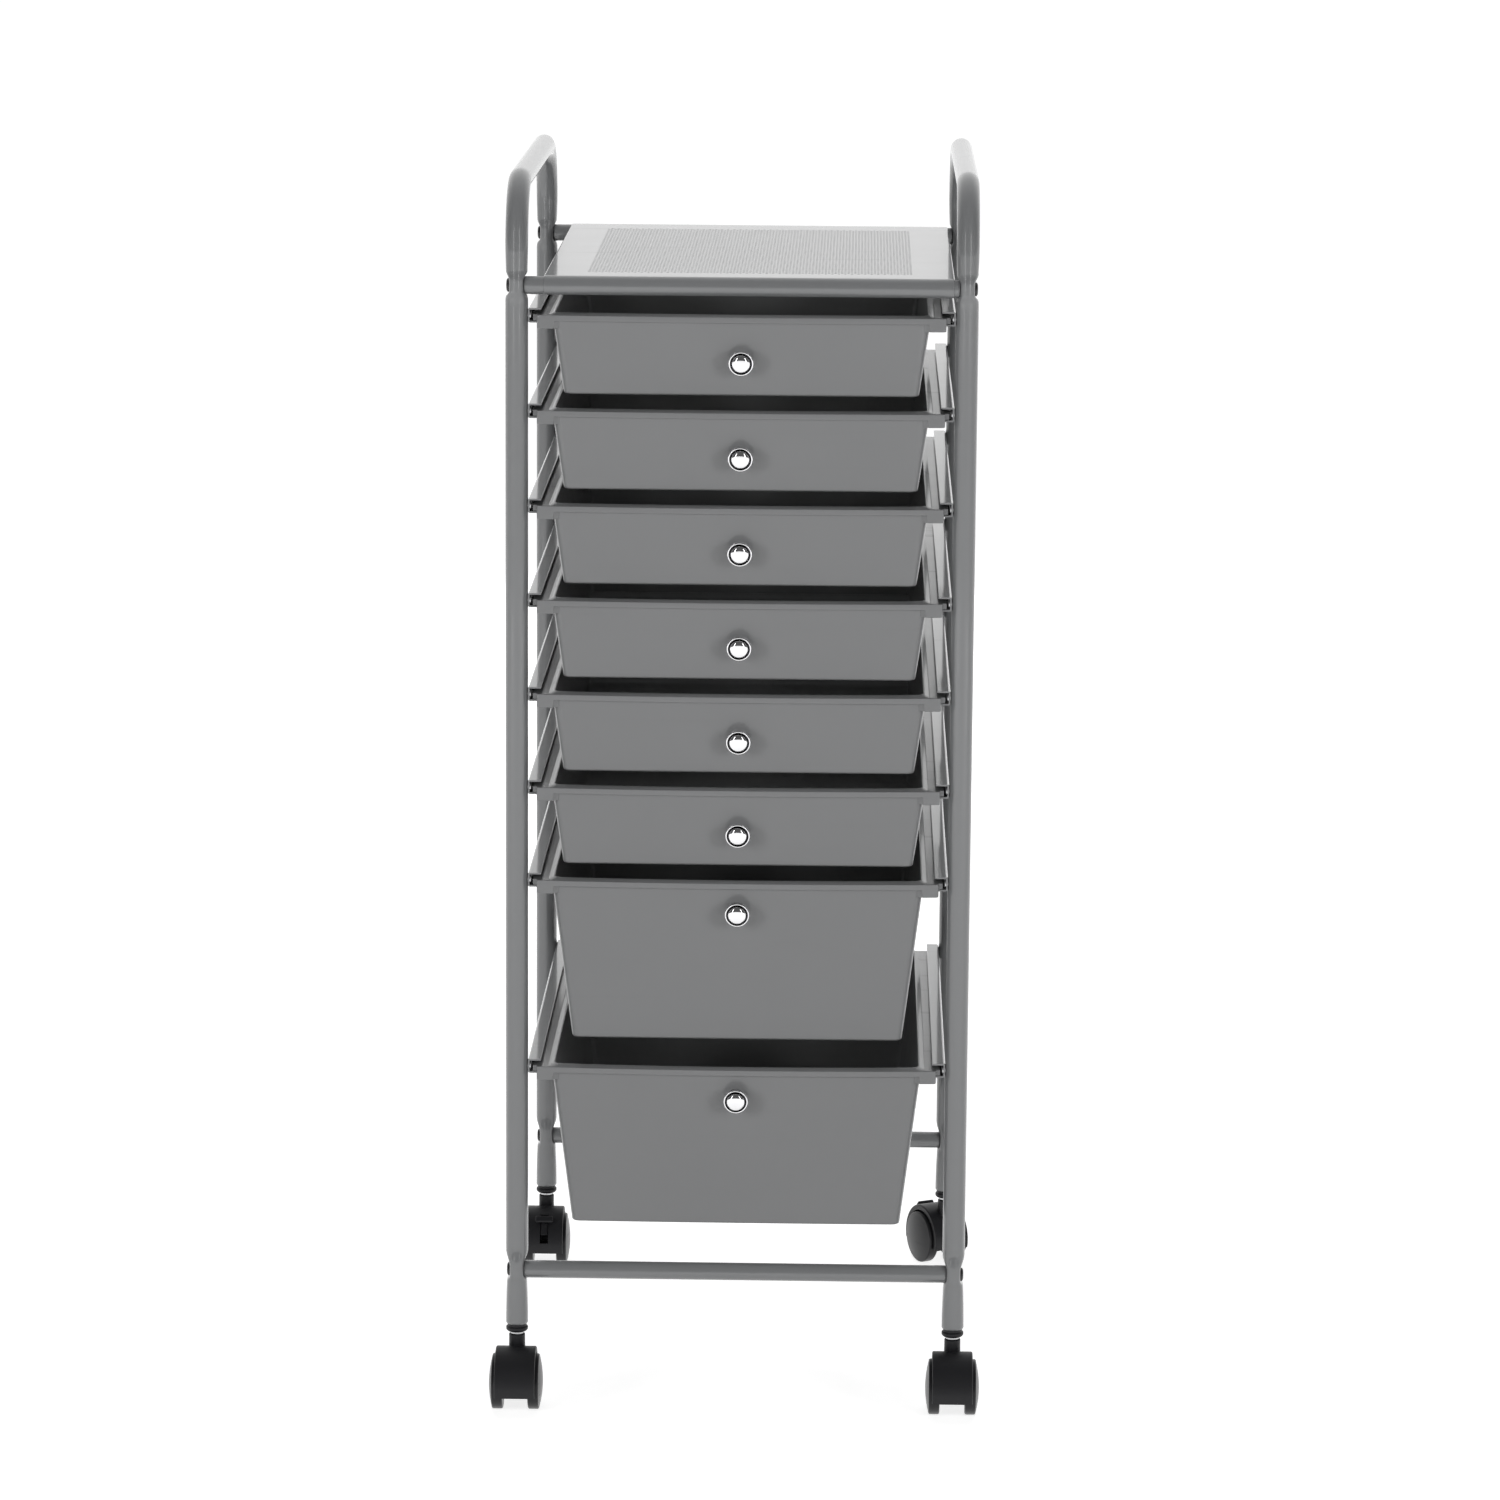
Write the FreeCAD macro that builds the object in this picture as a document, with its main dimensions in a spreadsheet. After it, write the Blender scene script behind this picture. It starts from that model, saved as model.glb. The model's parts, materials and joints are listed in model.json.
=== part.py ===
"""Rolling drawer cart: two bent tube side frames, cross rods, channel rails, eight
hanging drawers with knobs, a curled sheet top and four swivelling twin-wheel casters.

Millimetres, +Z up.  X runs across the cart, the drawers open towards -Y, and the
origin is on the floor midway between the four posts.
"""
import FreeCAD, Part
import Sketcher

import math
import os

Vector = FreeCAD.Vector
Rotation = FreeCAD.Rotation

DRIVING_SIZES = {
    # Side frames
    "post_spacing_y": 378.0,
    "tube_od": 16.0,
    "tube_wall": 1.2,
    "pinch_width": 10.0,
    "pinch_bulge": 20.0,
    "pinch_flat": 16.0,
    "pinch_run": 13.0,
    "leg_foot": 19.0,
    "handle_straight": 4.0,
    "bend_radius": 45.0,
    # Cross rods and their screws
    "rod_od": 12.7,
    "rod_wall": 1.5,
    "insert_length": 16.0,
    "rod_screw_d": 6.0,
    "rod_screw_head_d": 9.8,
    "rod_screw_head_height": 2.2,
    "rod_screw_grip": 12.0,
    "screw_hole_clearance": 0.2,
    # Top panel
    "panel_left_gap": 11.0,
    "panel_right_gap": 1.0,
    "panel_sheet": 0.6,
    "panel_curl": 150.0,
    "panel_side_margin": 27.5,
    "panel_front_margin": 24.0,
    "panel_rear_margin": 34.0,
    "panel_open_share": 0.5,
    # Spaces in the drawer stack
    "top_gap": 19.7,
    "shallow_gap": 11.0,
    "deep_gap": 18.7,
    "bottom_gap": 35.0,
    # Drawers
    "shallow_height": 56.0,
    "deep_height": 117.3,
    "drawer_width": 264.0,
    "drawer_depth": 382.5,
    "drawer_front_stand": 7.5,
    "front_bow": 5.0,
    "shallow_draft": 8.2,
    "deep_draft": 7.0,
    "drawer_wall": 1.8,
    "drawer_floor": 2.0,
    "drawer_corner": 6.0,
    "drawer_foot_round": 3.0,
    "rim_height": 4.3,
    "rim_sheet": 1.8,
    "rim_overhang": 2.0,
    "flange_reach": 13.3,
    "flange_side_gap": 2.5,
    "tab_reach": 10.5,
    "tab_height": 9.6,
    "tab_depth": 4.2,
    # Rails
    "rail_overhang": 4.0,
    "rail_sheet": 1.2,
    "rail_top_flange": 9.4,
    "rail_bottom_flange": 8.5,
    "rail_play_below": 0.5,
    "rail_play_above": 3.0,
    "rail_screw_d": 4.0,
    "rail_screw_head_d": 6.6,
    "rail_screw_head_height": 1.5,
    "rail_screw_length": 10.0,
    # Knobs
    "knob_length": 13.0,
    "knob_head_d": 18.5,
    "knob_head_thickness": 5.0,
    "knob_crown_d": 12.9,
    "knob_crown_height": 2.6,
    "knob_neck_d": 8.0,
    "knob_base_d": 12.0,
    "knob_base_height": 2.4,
    "knob_drop_shallow": 26.2,
    "knob_drop_deep": 16.1,
    "knob_screw_d": 4.0,
    "knob_screw_head_d": 8.0,
    "knob_screw_head_height": 2.4,
    "knob_screw_grip": 9.0,
    # Casters
    "wheel_d": 40.0,
    "wheel_gap": 18.0,
    "wheel_width": 8.0,
    "wheel_dome": 2.4,
    "wheel_round": 1.4,
    "hub_skin": 2.4,
    "trail": 13.0,
    "hood_width": 29.0,
    "hood_thickness": 4.3,
    "hood_clearance": 1.0,
    "hood_lower_edge": 14.0,
    "core_clearance": 0.6,
    "neck_d": 11.6,
    "neck_height": 6.7,
    "axle_d": 5.0,
    "axle_end_gap": 0.6,
    "running_clearance": 0.05,
    "stem_d": 7.0,
    "stem_depth": 24.0,
    "stem_end_gap": 0.5,
    "collar_d": 9.6,
    "collar_height": 1.8,
    "swivel_gap": 0.2,
    "plug_flange_d": 15.8,
    "plug_flange_height": 6.0,
    "plug_end_gap": 4.0,
    "plug_skin": 3.0,
    "rear_right_swivel": 208.0,
    # Brake levers
    "brake_slot_width": 6.4,
    "brake_slot_below": 9.0,
    "brake_slot_above": 7.0,
    "brake_angle": 45.0,
    "brake_pivot_inset": 8.0,
    "brake_pivot_d": 3.0,
    "brake_boss_d": 6.0,
    "brake_side_gap": 0.4,
    "brake_arm_width": 3.6,
    "brake_arm_height": 3.0,
    "brake_bar_stand": 1.5,
    "brake_bar_depth": 3.2,
    "brake_bar_height": 4.4,
    "brake_bar_width": 13.6,
    "brake_pin_reach": 3.0,
}

SHALLOW_COUNT = 6
DEEP_COUNT = 2
PANEL_OPENINGS_ACROSS = 12
PANEL_OPENINGS_ALONG = 16

doc = FreeCAD.newDocument("rolling_drawer_cart")
sheet = doc.addObject("Spreadsheet::Sheet", "Sizes")


class Size:
    """A size with its present value and the sheet formula that it follows."""

    def __init__(self, value, formula):
        self.value = value
        self.formula = formula

    def join(self, other, mark, value):
        return Size(value, "(%s %s %s)" % (self.formula, mark, formula_of(other)))

    def __add__(self, other):
        return self.join(other, "+", self.value + value_of(other))

    def __sub__(self, other):
        return self.join(other, "-", self.value - value_of(other))

    def __mul__(self, other):
        return self.join(other, "*", self.value * value_of(other))

    def __truediv__(self, other):
        return self.join(other, "/", self.value / value_of(other))

    def __neg__(self):
        return Size(-self.value, "(-1 * %s)" % self.formula)


def value_of(size):
    return size.value if isinstance(size, Size) else float(size)


def formula_of(size):
    return size.formula if isinstance(size, Size) else repr(float(size))


def tangent(angle):
    return Size(math.tan(math.radians(angle.value)), "tan(%s)" % angle.formula)


def sine(angle):
    return Size(math.sin(math.radians(angle.value)), "sin(%s)" % angle.formula)


def cosine(angle):
    return Size(math.cos(math.radians(angle.value)), "cos(%s)" % angle.formula)


class Sizes:
    """Every driving size by name, read from the sheet."""


def fill_sheet():
    """Put each driving size in the sheet under its own name."""
    found = Sizes()
    for row, (name, number) in enumerate(DRIVING_SIZES.items(), start=1):
        cell = "B%d" % row
        sheet.set("A%d" % row, name.replace("_", " "))
        sheet.set(cell, repr(number))
        sheet.setAlias(cell, name)
    doc.recompute()
    for name in DRIVING_SIZES:
        setattr(found, name, Size(float(sheet.get(name)), "Sizes." + name))
    return found


sizes = fill_sheet()
ZERO = Size(0.0, "0")


def bind(item, **properties):
    for name, size in properties.items():
        item.setExpression(name, formula_of(size))


def place(item, x=0.0, y=0.0, z=0.0, turn=None):
    """Stand an item at x, y, z, turned by a fixed rotation."""
    item.Placement = FreeCAD.Placement(Vector(value_of(x), value_of(y), value_of(z)), turn or Rotation())
    for letter, size in (("x", x), ("y", y), ("z", z)):
        if isinstance(size, Size):
            item.setExpression("Placement.Base." + letter, size.formula)
    return item


def turn_by(item, axis, angle):
    """Turn an item about an axis through its own place by an angle that follows the sheet."""
    item.Placement.Rotation = Rotation(axis, angle.value)
    item.setExpression("Placement.Rotation.Angle", angle.formula)
    return item


X_AXIS = Vector(1, 0, 0)
Z_AXIS = Vector(0, 0, 1)
TO_PLUS_X = Rotation(Vector(0, 1, 0), 90)
TO_MINUS_X = Rotation(Vector(0, 1, 0), -90)
TO_PLUS_Y = Rotation(X_AXIS, -90)
HALF_TURN = Rotation(Z_AXIS, 180)
QUARTER_TURN = Rotation(Z_AXIS, 90)
POST_TO_HANDLE = Rotation(Vector(0, -1, 0), Vector(0, 0, 1), Vector(-1, 0, 0), "XYZ")


def cylinder(name, radius, height, x=0.0, y=0.0, z=0.0, turn=None):
    item = doc.addObject("Part::Cylinder", name)
    bind(item, Radius=radius, Height=height)
    return place(item, x, y, z, turn)


def box(name, length, width, height, x=0.0, y=0.0, z=0.0, turn=None):
    item = doc.addObject("Part::Box", name)
    bind(item, Length=length, Width=width, Height=height)
    return place(item, x, y, z, turn)


def fuse(name, items):
    item = doc.addObject("Part::MultiFuse", name)
    item.Shapes = items
    item.Refine = True
    return item


def cut(name, base, tools):
    """Take away one or more tools from a base."""
    item = doc.addObject("Part::Cut", name)
    item.Base = base
    item.Tool = tools[0] if len(tools) == 1 else group(name + "_tools", tools)
    return item


def group(name, items):
    item = doc.addObject("Part::Compound", name)
    item.Links = items
    return item


def copy_of(name, master, x=0.0, y=0.0, z=0.0, turn=None):
    """A placed copy that follows its master's shape."""
    return place(group(name, [master]), x, y, z, turn)


def origin_plane(body, role):
    return [plane for plane in body.Origin.OriginFeatures if plane.Role == role][0]


def closed_sketch(body, name, plane, corners, arcs=None):
    """Closed outline through corners, each pinned by sheet formulas.

    arcs maps an edge's number to its radius and the side of the edge that it swells to,
    left (1) or right (-1) of the way from its first corner to its second.
    """
    arcs = arcs or {}
    sketch = body.newObject("Sketcher::SketchObject", name)
    sketch.AttachmentSupport = [(origin_plane(body, plane), "")]
    sketch.MapMode = "FlatFace"
    spots = [Vector(value_of(x), value_of(y), 0) for x, y in corners]
    count = len(spots)
    for edge in range(count):
        start = spots[edge]
        end = spots[(edge + 1) % count]
        if edge in arcs:
            radius, side = arcs[edge]
            sketch.addGeometry(swollen_edge(start, end, value_of(radius), side), False)
        else:
            sketch.addGeometry(Part.LineSegment(start, end), False)
    heads = [end_number(sketch, edge, spots[edge]) for edge in range(count)]
    for edge in range(count):
        ahead = (edge + 1) % count
        sketch.addConstraint(Sketcher.Constraint("Coincident", edge, 3 - heads[edge], ahead, heads[ahead]))
    for edge, (x, y) in enumerate(corners):
        pin(sketch, "DistanceX", edge, heads[edge], x, -2)
        pin(sketch, "DistanceY", edge, heads[edge], y, -1)
    for edge, (radius, side) in arcs.items():
        number = sketch.addConstraint(Sketcher.Constraint("Radius", edge, value_of(radius)))
        sketch.setExpression("Constraints[%d]" % number, formula_of(radius))
    return sketch


def swollen_edge(start, end, radius, side):
    """Arc of a radius from start to end that swells to one side of the straight edge."""
    along = end - start
    half = along.Length / 2
    away = Vector(-along.y, along.x, 0).normalize() * side
    rise = radius - math.sqrt(max(radius * radius - half * half, 0.0))
    return Part.Arc(start, (start + end) * 0.5 + away * rise, end)


def end_number(sketch, edge, spot):
    """1 or 2: which end of a sketch edge lies on a spot."""
    near = sketch.getPoint(edge, 1).distanceToPoint(spot)
    far = sketch.getPoint(edge, 2).distanceToPoint(spot)
    return 1 if near < far else 2


def pin(sketch, kind, edge, end, size, axis):
    """Hold one coordinate of a sketch corner on its formula, or on the axis if it is zero."""
    if value_of(size) == 0.0 and not isinstance(size, Size):
        sketch.addConstraint(Sketcher.Constraint("PointOnObject", edge, end, axis))
        return
    number = sketch.addConstraint(Sketcher.Constraint(kind, edge, end, value_of(size)))
    sketch.setExpression("Constraints[%d]" % number, formula_of(size))


def new_body(name):
    return doc.addObject("PartDesign::Body", name)


def arc_radius(half_chord, rise):
    """Radius of the arc that rises this far over a chord."""
    return (half_chord * half_chord + rise * rise) / (rise * 2)


def turned(name, corners, arcs=None):
    """Body of revolution about Z from an outline of (radius, height) corners."""
    body = new_body(name)
    sketch = closed_sketch(body, name + "_outline", "XZ_Plane", corners, arcs)
    turn = body.newObject("PartDesign::Revolution", name + "_turn")
    turn.Profile = sketch
    turn.ReferenceAxis = (sketch, ["V_Axis"])
    turn.Angle = 360
    return body


def extrude(body, kind, name, sketch, length, downwards=False, taper=None, both_ways=False):
    """Pad or pocket a sketch of a body by a length."""
    feature = body.newObject("PartDesign::" + kind, name)
    feature.Profile = sketch
    bind(feature, Length=length)
    feature.Reversed = downwards
    if both_ways:
        feature.SideType = "Symmetric"
    if taper:
        bind(feature, TaperAngle=taper)
    return feature


def repeat(body, name, feature, sketch, across, along):
    """Repeat a feature in a grid along its sketch's axes; across and along each give a length and a count."""
    grid = body.newObject("PartDesign::MultiTransform", name)
    grid.Originals = [feature]
    lines = []
    for axis, (length, count) in (("H_Axis", across), ("V_Axis", along)):
        line = body.newObject("PartDesign::LinearPattern", "%s_%s" % (name, axis))
        line.Direction = (sketch, [axis])
        line.Occurrences = count
        bind(line, Length=length)
        lines.append(line)
    grid.Transformations = lines
    body.Tip = grid
    return grid


def fillet(body, name, feature, radius, chosen):
    """Round the edges of a feature for which chosen(edge) is true."""
    doc.recompute()
    edges = ["Edge%d" % number for number, edge in enumerate(feature.Shape.Edges, start=1) if chosen(edge)]
    item = body.newObject("PartDesign::Fillet", name)
    item.Base = (feature, edges)
    bind(item, Radius=radius)
    return item


NODES = []


def node(label, item):
    """Name a finished sub-part."""
    item.Label = label
    NODES.append(item)
    return item


# Places that several pieces share: the drawers set the rails apart, and the rails the posts
tube_r = sizes.tube_od / 2
flange_x = sizes.drawer_width / 2 + sizes.flange_reach
rail_web_x = flange_x + sizes.flange_side_gap + sizes.rail_sheet
post_x = rail_web_x + tube_r
post_y = sizes.post_spacing_y / 2
rod_r = sizes.rod_od / 2
wheel_r = sizes.wheel_d / 2
well_r = wheel_r + sizes.hood_clearance
hood_r = well_r + sizes.hood_thickness
neck_top = wheel_r + hood_r + sizes.neck_height
collar_base = neck_top + sizes.swivel_gap
plug_base = collar_base + sizes.collar_height
tube_end = plug_base + sizes.plug_flange_height
bottom_rod_z = tube_end + sizes.leg_foot + sizes.pinch_run + sizes.pinch_flat / 2
shallow_pitch = sizes.shallow_height + sizes.shallow_gap
deep_pitch = sizes.deep_height + sizes.deep_gap
POSTS = {
    "front_left": (-1, -1),
    "front_right": (1, -1),
    "rear_left": (-1, 1),
    "rear_right": (1, 1),
}


def rim_levels():
    """Height of each drawer's rim top, from the lowest drawer up, and of the top rods."""
    level = bottom_rod_z + sizes.bottom_gap + sizes.deep_height
    levels = [level]
    for step in range(1, DEEP_COUNT + SHALLOW_COUNT):
        level = level + (deep_pitch if step < DEEP_COUNT else shallow_pitch)
        levels.append(level)
    return levels[::-1], level + sizes.top_gap


drawer_rims, top_rod_z = rim_levels()
pinch_half = sizes.pinch_flat / 2 + sizes.pinch_run
handle_base = top_rod_z + pinch_half + sizes.handle_straight
handle_z = handle_base + sizes.bend_radius
# A drawer's rim sits in the channel above the lower flange
rail_height = sizes.rail_sheet * 2 + sizes.rail_play_below + sizes.rim_height + sizes.rail_play_above
rail_drop = sizes.rim_height + sizes.rail_play_below + sizes.rail_sheet
rail_bases = [rim - rail_drop for rim in drawer_rims]
rail_screw_z = rail_height / 2
front_y = post_y + sizes.drawer_front_stand


def tube_half(name, inset):
    """Front leg with its two pinches, its bend and half of the handle run, less an inset."""
    radius = tube_r - inset
    runs = []

    def straight(part, low, high):
        runs.append(cylinder(name + part, radius, high - low, 0.0, -post_y, low))

    def pinch(part, middle):
        rings = []
        for ring, (height, flat) in enumerate((
            (middle - pinch_half, False),
            (middle - sizes.pinch_flat / 2, True),
            (middle + sizes.pinch_flat / 2, True),
            (middle + pinch_half, False),
        )):
            kind = "Part::Ellipse" if flat else "Part::Circle"
            item = doc.addObject(kind, "%s%s_ring_%d" % (name, part, ring))
            if flat:
                bind(item, MajorRadius=sizes.pinch_bulge / 2 - inset)
                bind(item, MinorRadius=sizes.pinch_width / 2 - inset)
            else:
                bind(item, Radius=radius)
            rings.append(place(item, 0.0, -post_y, height, QUARTER_TURN))
        loft = doc.addObject("Part::Loft", name + part)
        loft.Sections = rings
        loft.Solid = True
        loft.Ruled = True
        runs.append(loft)

    straight("_foot", tube_end, bottom_rod_z - pinch_half)
    pinch("_lower_pinch", bottom_rod_z)
    straight("_post", bottom_rod_z + pinch_half, top_rod_z - pinch_half)
    pinch("_upper_pinch", top_rod_z)
    straight("_shoulder", top_rod_z + pinch_half, handle_base)
    bend = doc.addObject("Part::Torus", name + "_bend")
    bind(bend, Radius1=sizes.bend_radius, Radius2=radius)
    bend.Angle3 = 90
    # The quarter ring runs from the post's top over to the level handle
    place(bend, 0.0, sizes.bend_radius - post_y, handle_base, POST_TO_HANDLE)
    runs.append(bend)
    run = post_y - sizes.bend_radius
    runs.append(cylinder(name + "_handle", radius, run, 0.0, -run, handle_z, TO_PLUS_Y))
    return fuse(name, runs)


def make_side_frames():
    half = cut("frame_half", tube_half("tube_outer", ZERO), [tube_half("tube_inner", sizes.tube_wall)])
    whole = fuse("frame_tube", [half, copy_of("frame_half_rear", half, turn=HALF_TURN)])
    holes = []
    rod_hole_r = sizes.rod_screw_d / 2 + sizes.screw_hole_clearance
    rail_hole_r = sizes.rail_screw_d / 2 + sizes.screw_hole_clearance
    for end, side in (("front", -1), ("rear", 1)):
        for level, height in (("bottom", bottom_rod_z), ("top", top_rod_z)):
            name = "%s_%s_rod_hole" % (end, level)
            holes.append(cylinder(name, rod_hole_r, tube_r * 2, -tube_r, post_y * side, height, TO_PLUS_X))
        for number, base in enumerate(rail_bases, start=1):
            name = "%s_rail_hole_%d" % (end, number)
            height = base + rail_screw_z
            holes.append(cylinder(name, rail_hole_r, tube_r, -tube_r, post_y * side, height, TO_PLUS_X))
    master = cut("side_frame", whole, holes)
    node("side_frame_right", copy_of("frame_right", master, post_x))
    node("side_frame_left", copy_of("frame_left", master, -post_x, turn=HALF_TURN))


def make_rods():
    """Cross rods between the pinched flats, with a threaded insert in each end."""
    half = post_x - sizes.pinch_width / 2
    bore = rod_r - sizes.rod_wall
    blank = cylinder("rod_blank", rod_r, half * 2, -half, 0.0, 0.0, TO_PLUS_X)
    rod = cut("rod", blank, [cylinder("rod_bore", bore, half * 2, -half, 0.0, 0.0, TO_PLUS_X)])
    deep = sizes.insert_length
    plug = cylinder("insert_blank", bore, deep, turn=TO_MINUS_X)
    insert = cut("insert", plug, [cylinder("insert_thread", sizes.rod_screw_d / 2, deep, turn=TO_MINUS_X)])
    screw = turned("rod_screw", head_and_shank(
        sizes.rod_screw_d,
        sizes.rod_screw_head_d,
        sizes.rod_screw_head_height,
        sizes.pinch_width + sizes.rod_screw_grip,
    ))
    inserts = []
    screws = []
    outside = post_x + sizes.pinch_width / 2
    for level, height in (("bottom", bottom_rod_z), ("top", top_rod_z)):
        for end, way in (("front", -1), ("rear", 1)):
            tag = "%s_%s" % (level, end)
            node("%s_rod_%s" % (level, end), copy_of("rod_" + tag, rod, 0.0, post_y * way, height))
            for side, sign, turn in (("left", -1, HALF_TURN), ("right", 1, None)):
                name = "%s_%s" % (tag, side)
                inserts.append(copy_of("insert_" + name, insert, half * sign, post_y * way, height, turn))
                lay = TO_PLUS_X if sign > 0 else TO_MINUS_X
                screws.append(copy_of("screw_" + name, screw, outside * sign, post_y * way, height, lay))
    node("rod_inserts", group("all_inserts", inserts))
    node("rod_screws", group("all_rod_screws", screws))


def head_and_shank(shank_d, head_d, head_height, length):
    """Low round head above z = 0 on a shank below it, as (radius, height) corners."""
    edge = head_height / 2
    return [
        (0, head_height),
        (head_d / 4, head_height),
        (head_d / 2, edge),
        (head_d / 2, 0),
        (shank_d / 2, 0),
        (shank_d / 2, -length),
        (0, -length),
    ]


def make_top_panel():
    """Flat sheet whose front and rear edges curl down round the two top rods."""
    body = new_body("panel")
    inner = rod_r
    outer = rod_r + sizes.panel_sheet
    level = top_rod_z
    # The curl ends this far under the rod, past the point where the sheet faces outwards
    below = sine(sizes.panel_curl - 90)
    across = cosine(sizes.panel_curl - 90)
    tip = [(post_y + across * radius, level - below * radius) for radius in (outer, inner)]
    corners = [
        (-post_y, level + outer),
        (-tip[0][0], tip[0][1]),
        (-tip[1][0], tip[1][1]),
        (-post_y, level + inner),
        (post_y, level + inner),
        (tip[1][0], tip[1][1]),
        (tip[0][0], tip[0][1]),
        (post_y, level + outer),
    ]
    arcs = {0: (outer, -1), 2: (inner, 1), 4: (inner, 1), 6: (outer, -1)}
    sketch = closed_sketch(body, "panel_outline", "YZ_Plane", corners, arcs)
    # The sheet lies between the posts, with its side play mostly on the left
    width = rail_web_x * 2 - sizes.panel_left_gap - sizes.panel_right_gap
    extrude(body, "Pad", "panel_sheet_pad", sketch, width)

    # Coarse grid of square openings for the fine perforation, each in the middle of its cell
    pitch_x = (width - sizes.panel_side_margin * 2) / PANEL_OPENINGS_ACROSS
    pitch_y = (post_y * 2 - sizes.panel_front_margin - sizes.panel_rear_margin) / PANEL_OPENINGS_ALONG
    rim_x = pitch_x * (-sizes.panel_open_share + 1) / 2
    rim_y = pitch_y * (-sizes.panel_open_share + 1) / 2
    left = sizes.panel_side_margin + rim_x
    near = -post_y + sizes.panel_front_margin + rim_y
    right = sizes.panel_side_margin + pitch_x - rim_x
    far = -post_y + sizes.panel_front_margin + pitch_y - rim_y
    cell = closed_sketch(
        body, "panel_opening_outline", "XY_Plane", [(left, near), (right, near), (right, far), (left, far)])
    opening = extrude(body, "Pocket", "panel_opening", cell, level + outer * 2, True)
    repeat(
        body, "panel_openings", opening, cell,
        (pitch_x * (PANEL_OPENINGS_ACROSS - 1), PANEL_OPENINGS_ACROSS),
        (pitch_y * (PANEL_OPENINGS_ALONG - 1), PANEL_OPENINGS_ALONG))
    place(body, sizes.panel_left_gap - rail_web_x)
    node("top_panel", body)


def make_rails():
    """Channels that open inwards, one each side of every drawer, screwed to the posts."""
    body = new_body("rail_channel")
    sheet_t = sizes.rail_sheet
    corners = [
        (0, 0),
        (0, rail_height),
        (-sizes.rail_top_flange, rail_height),
        (-sizes.rail_top_flange, rail_height - sheet_t),
        (-sheet_t, rail_height - sheet_t),
        (-sheet_t, sheet_t),
        (-sizes.rail_bottom_flange, sheet_t),
        (-sizes.rail_bottom_flange, 0),
    ]
    sketch = closed_sketch(body, "rail_outline", "XZ_Plane", corners)
    extrude(body, "Pad", "rail_pad", sketch, (post_y + sizes.rail_overhang) * 2, both_ways=True)
    hole_r = sizes.rail_screw_d / 2 + sizes.screw_hole_clearance
    holes = []
    for end, way in (("front", -1), ("rear", 1)):
        name = "rail_%s_hole" % end
        holes.append(cylinder(name, hole_r, sheet_t, -sheet_t, post_y * way, rail_screw_z, TO_PLUS_X))
    rail = cut("rail", body, holes)
    screw = turned("rail_screw", head_and_shank(
        sizes.rail_screw_d,
        sizes.rail_screw_head_d,
        sizes.rail_screw_head_height,
        sizes.rail_screw_length,
    ))
    screws = []
    seat = rail_web_x - sheet_t
    for side, sign, turn, lay in (("left", -1, HALF_TURN, TO_PLUS_X), ("right", 1, None, TO_MINUS_X)):
        rails = []
        for number, base in enumerate(rail_bases, start=1):
            rails.append(copy_of("rail_%s_%d" % (side, number), rail, rail_web_x * sign, 0.0, base, turn))
            for end, way in (("front", -1), ("rear", 1)):
                name = "rail_screw_%s_%d_%s" % (side, number, end)
                height = base + rail_screw_z
                screws.append(copy_of(name, screw, seat * sign, post_y * way, height, lay))
        node("rails_" + side, group("all_rails_" + side, rails))
    node("rail_screws", group("all_rail_screws", screws))


def tub_outline(inset):
    """Drawer outline at the rim: straight sides and back, front bowed outwards."""
    half = sizes.drawer_width / 2 - inset
    return [
        (-half, -front_y + inset),
        (half, -front_y + inset),
        (half, -front_y + sizes.drawer_depth - inset),
        (-half, -front_y + sizes.drawer_depth - inset),
    ]


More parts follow.
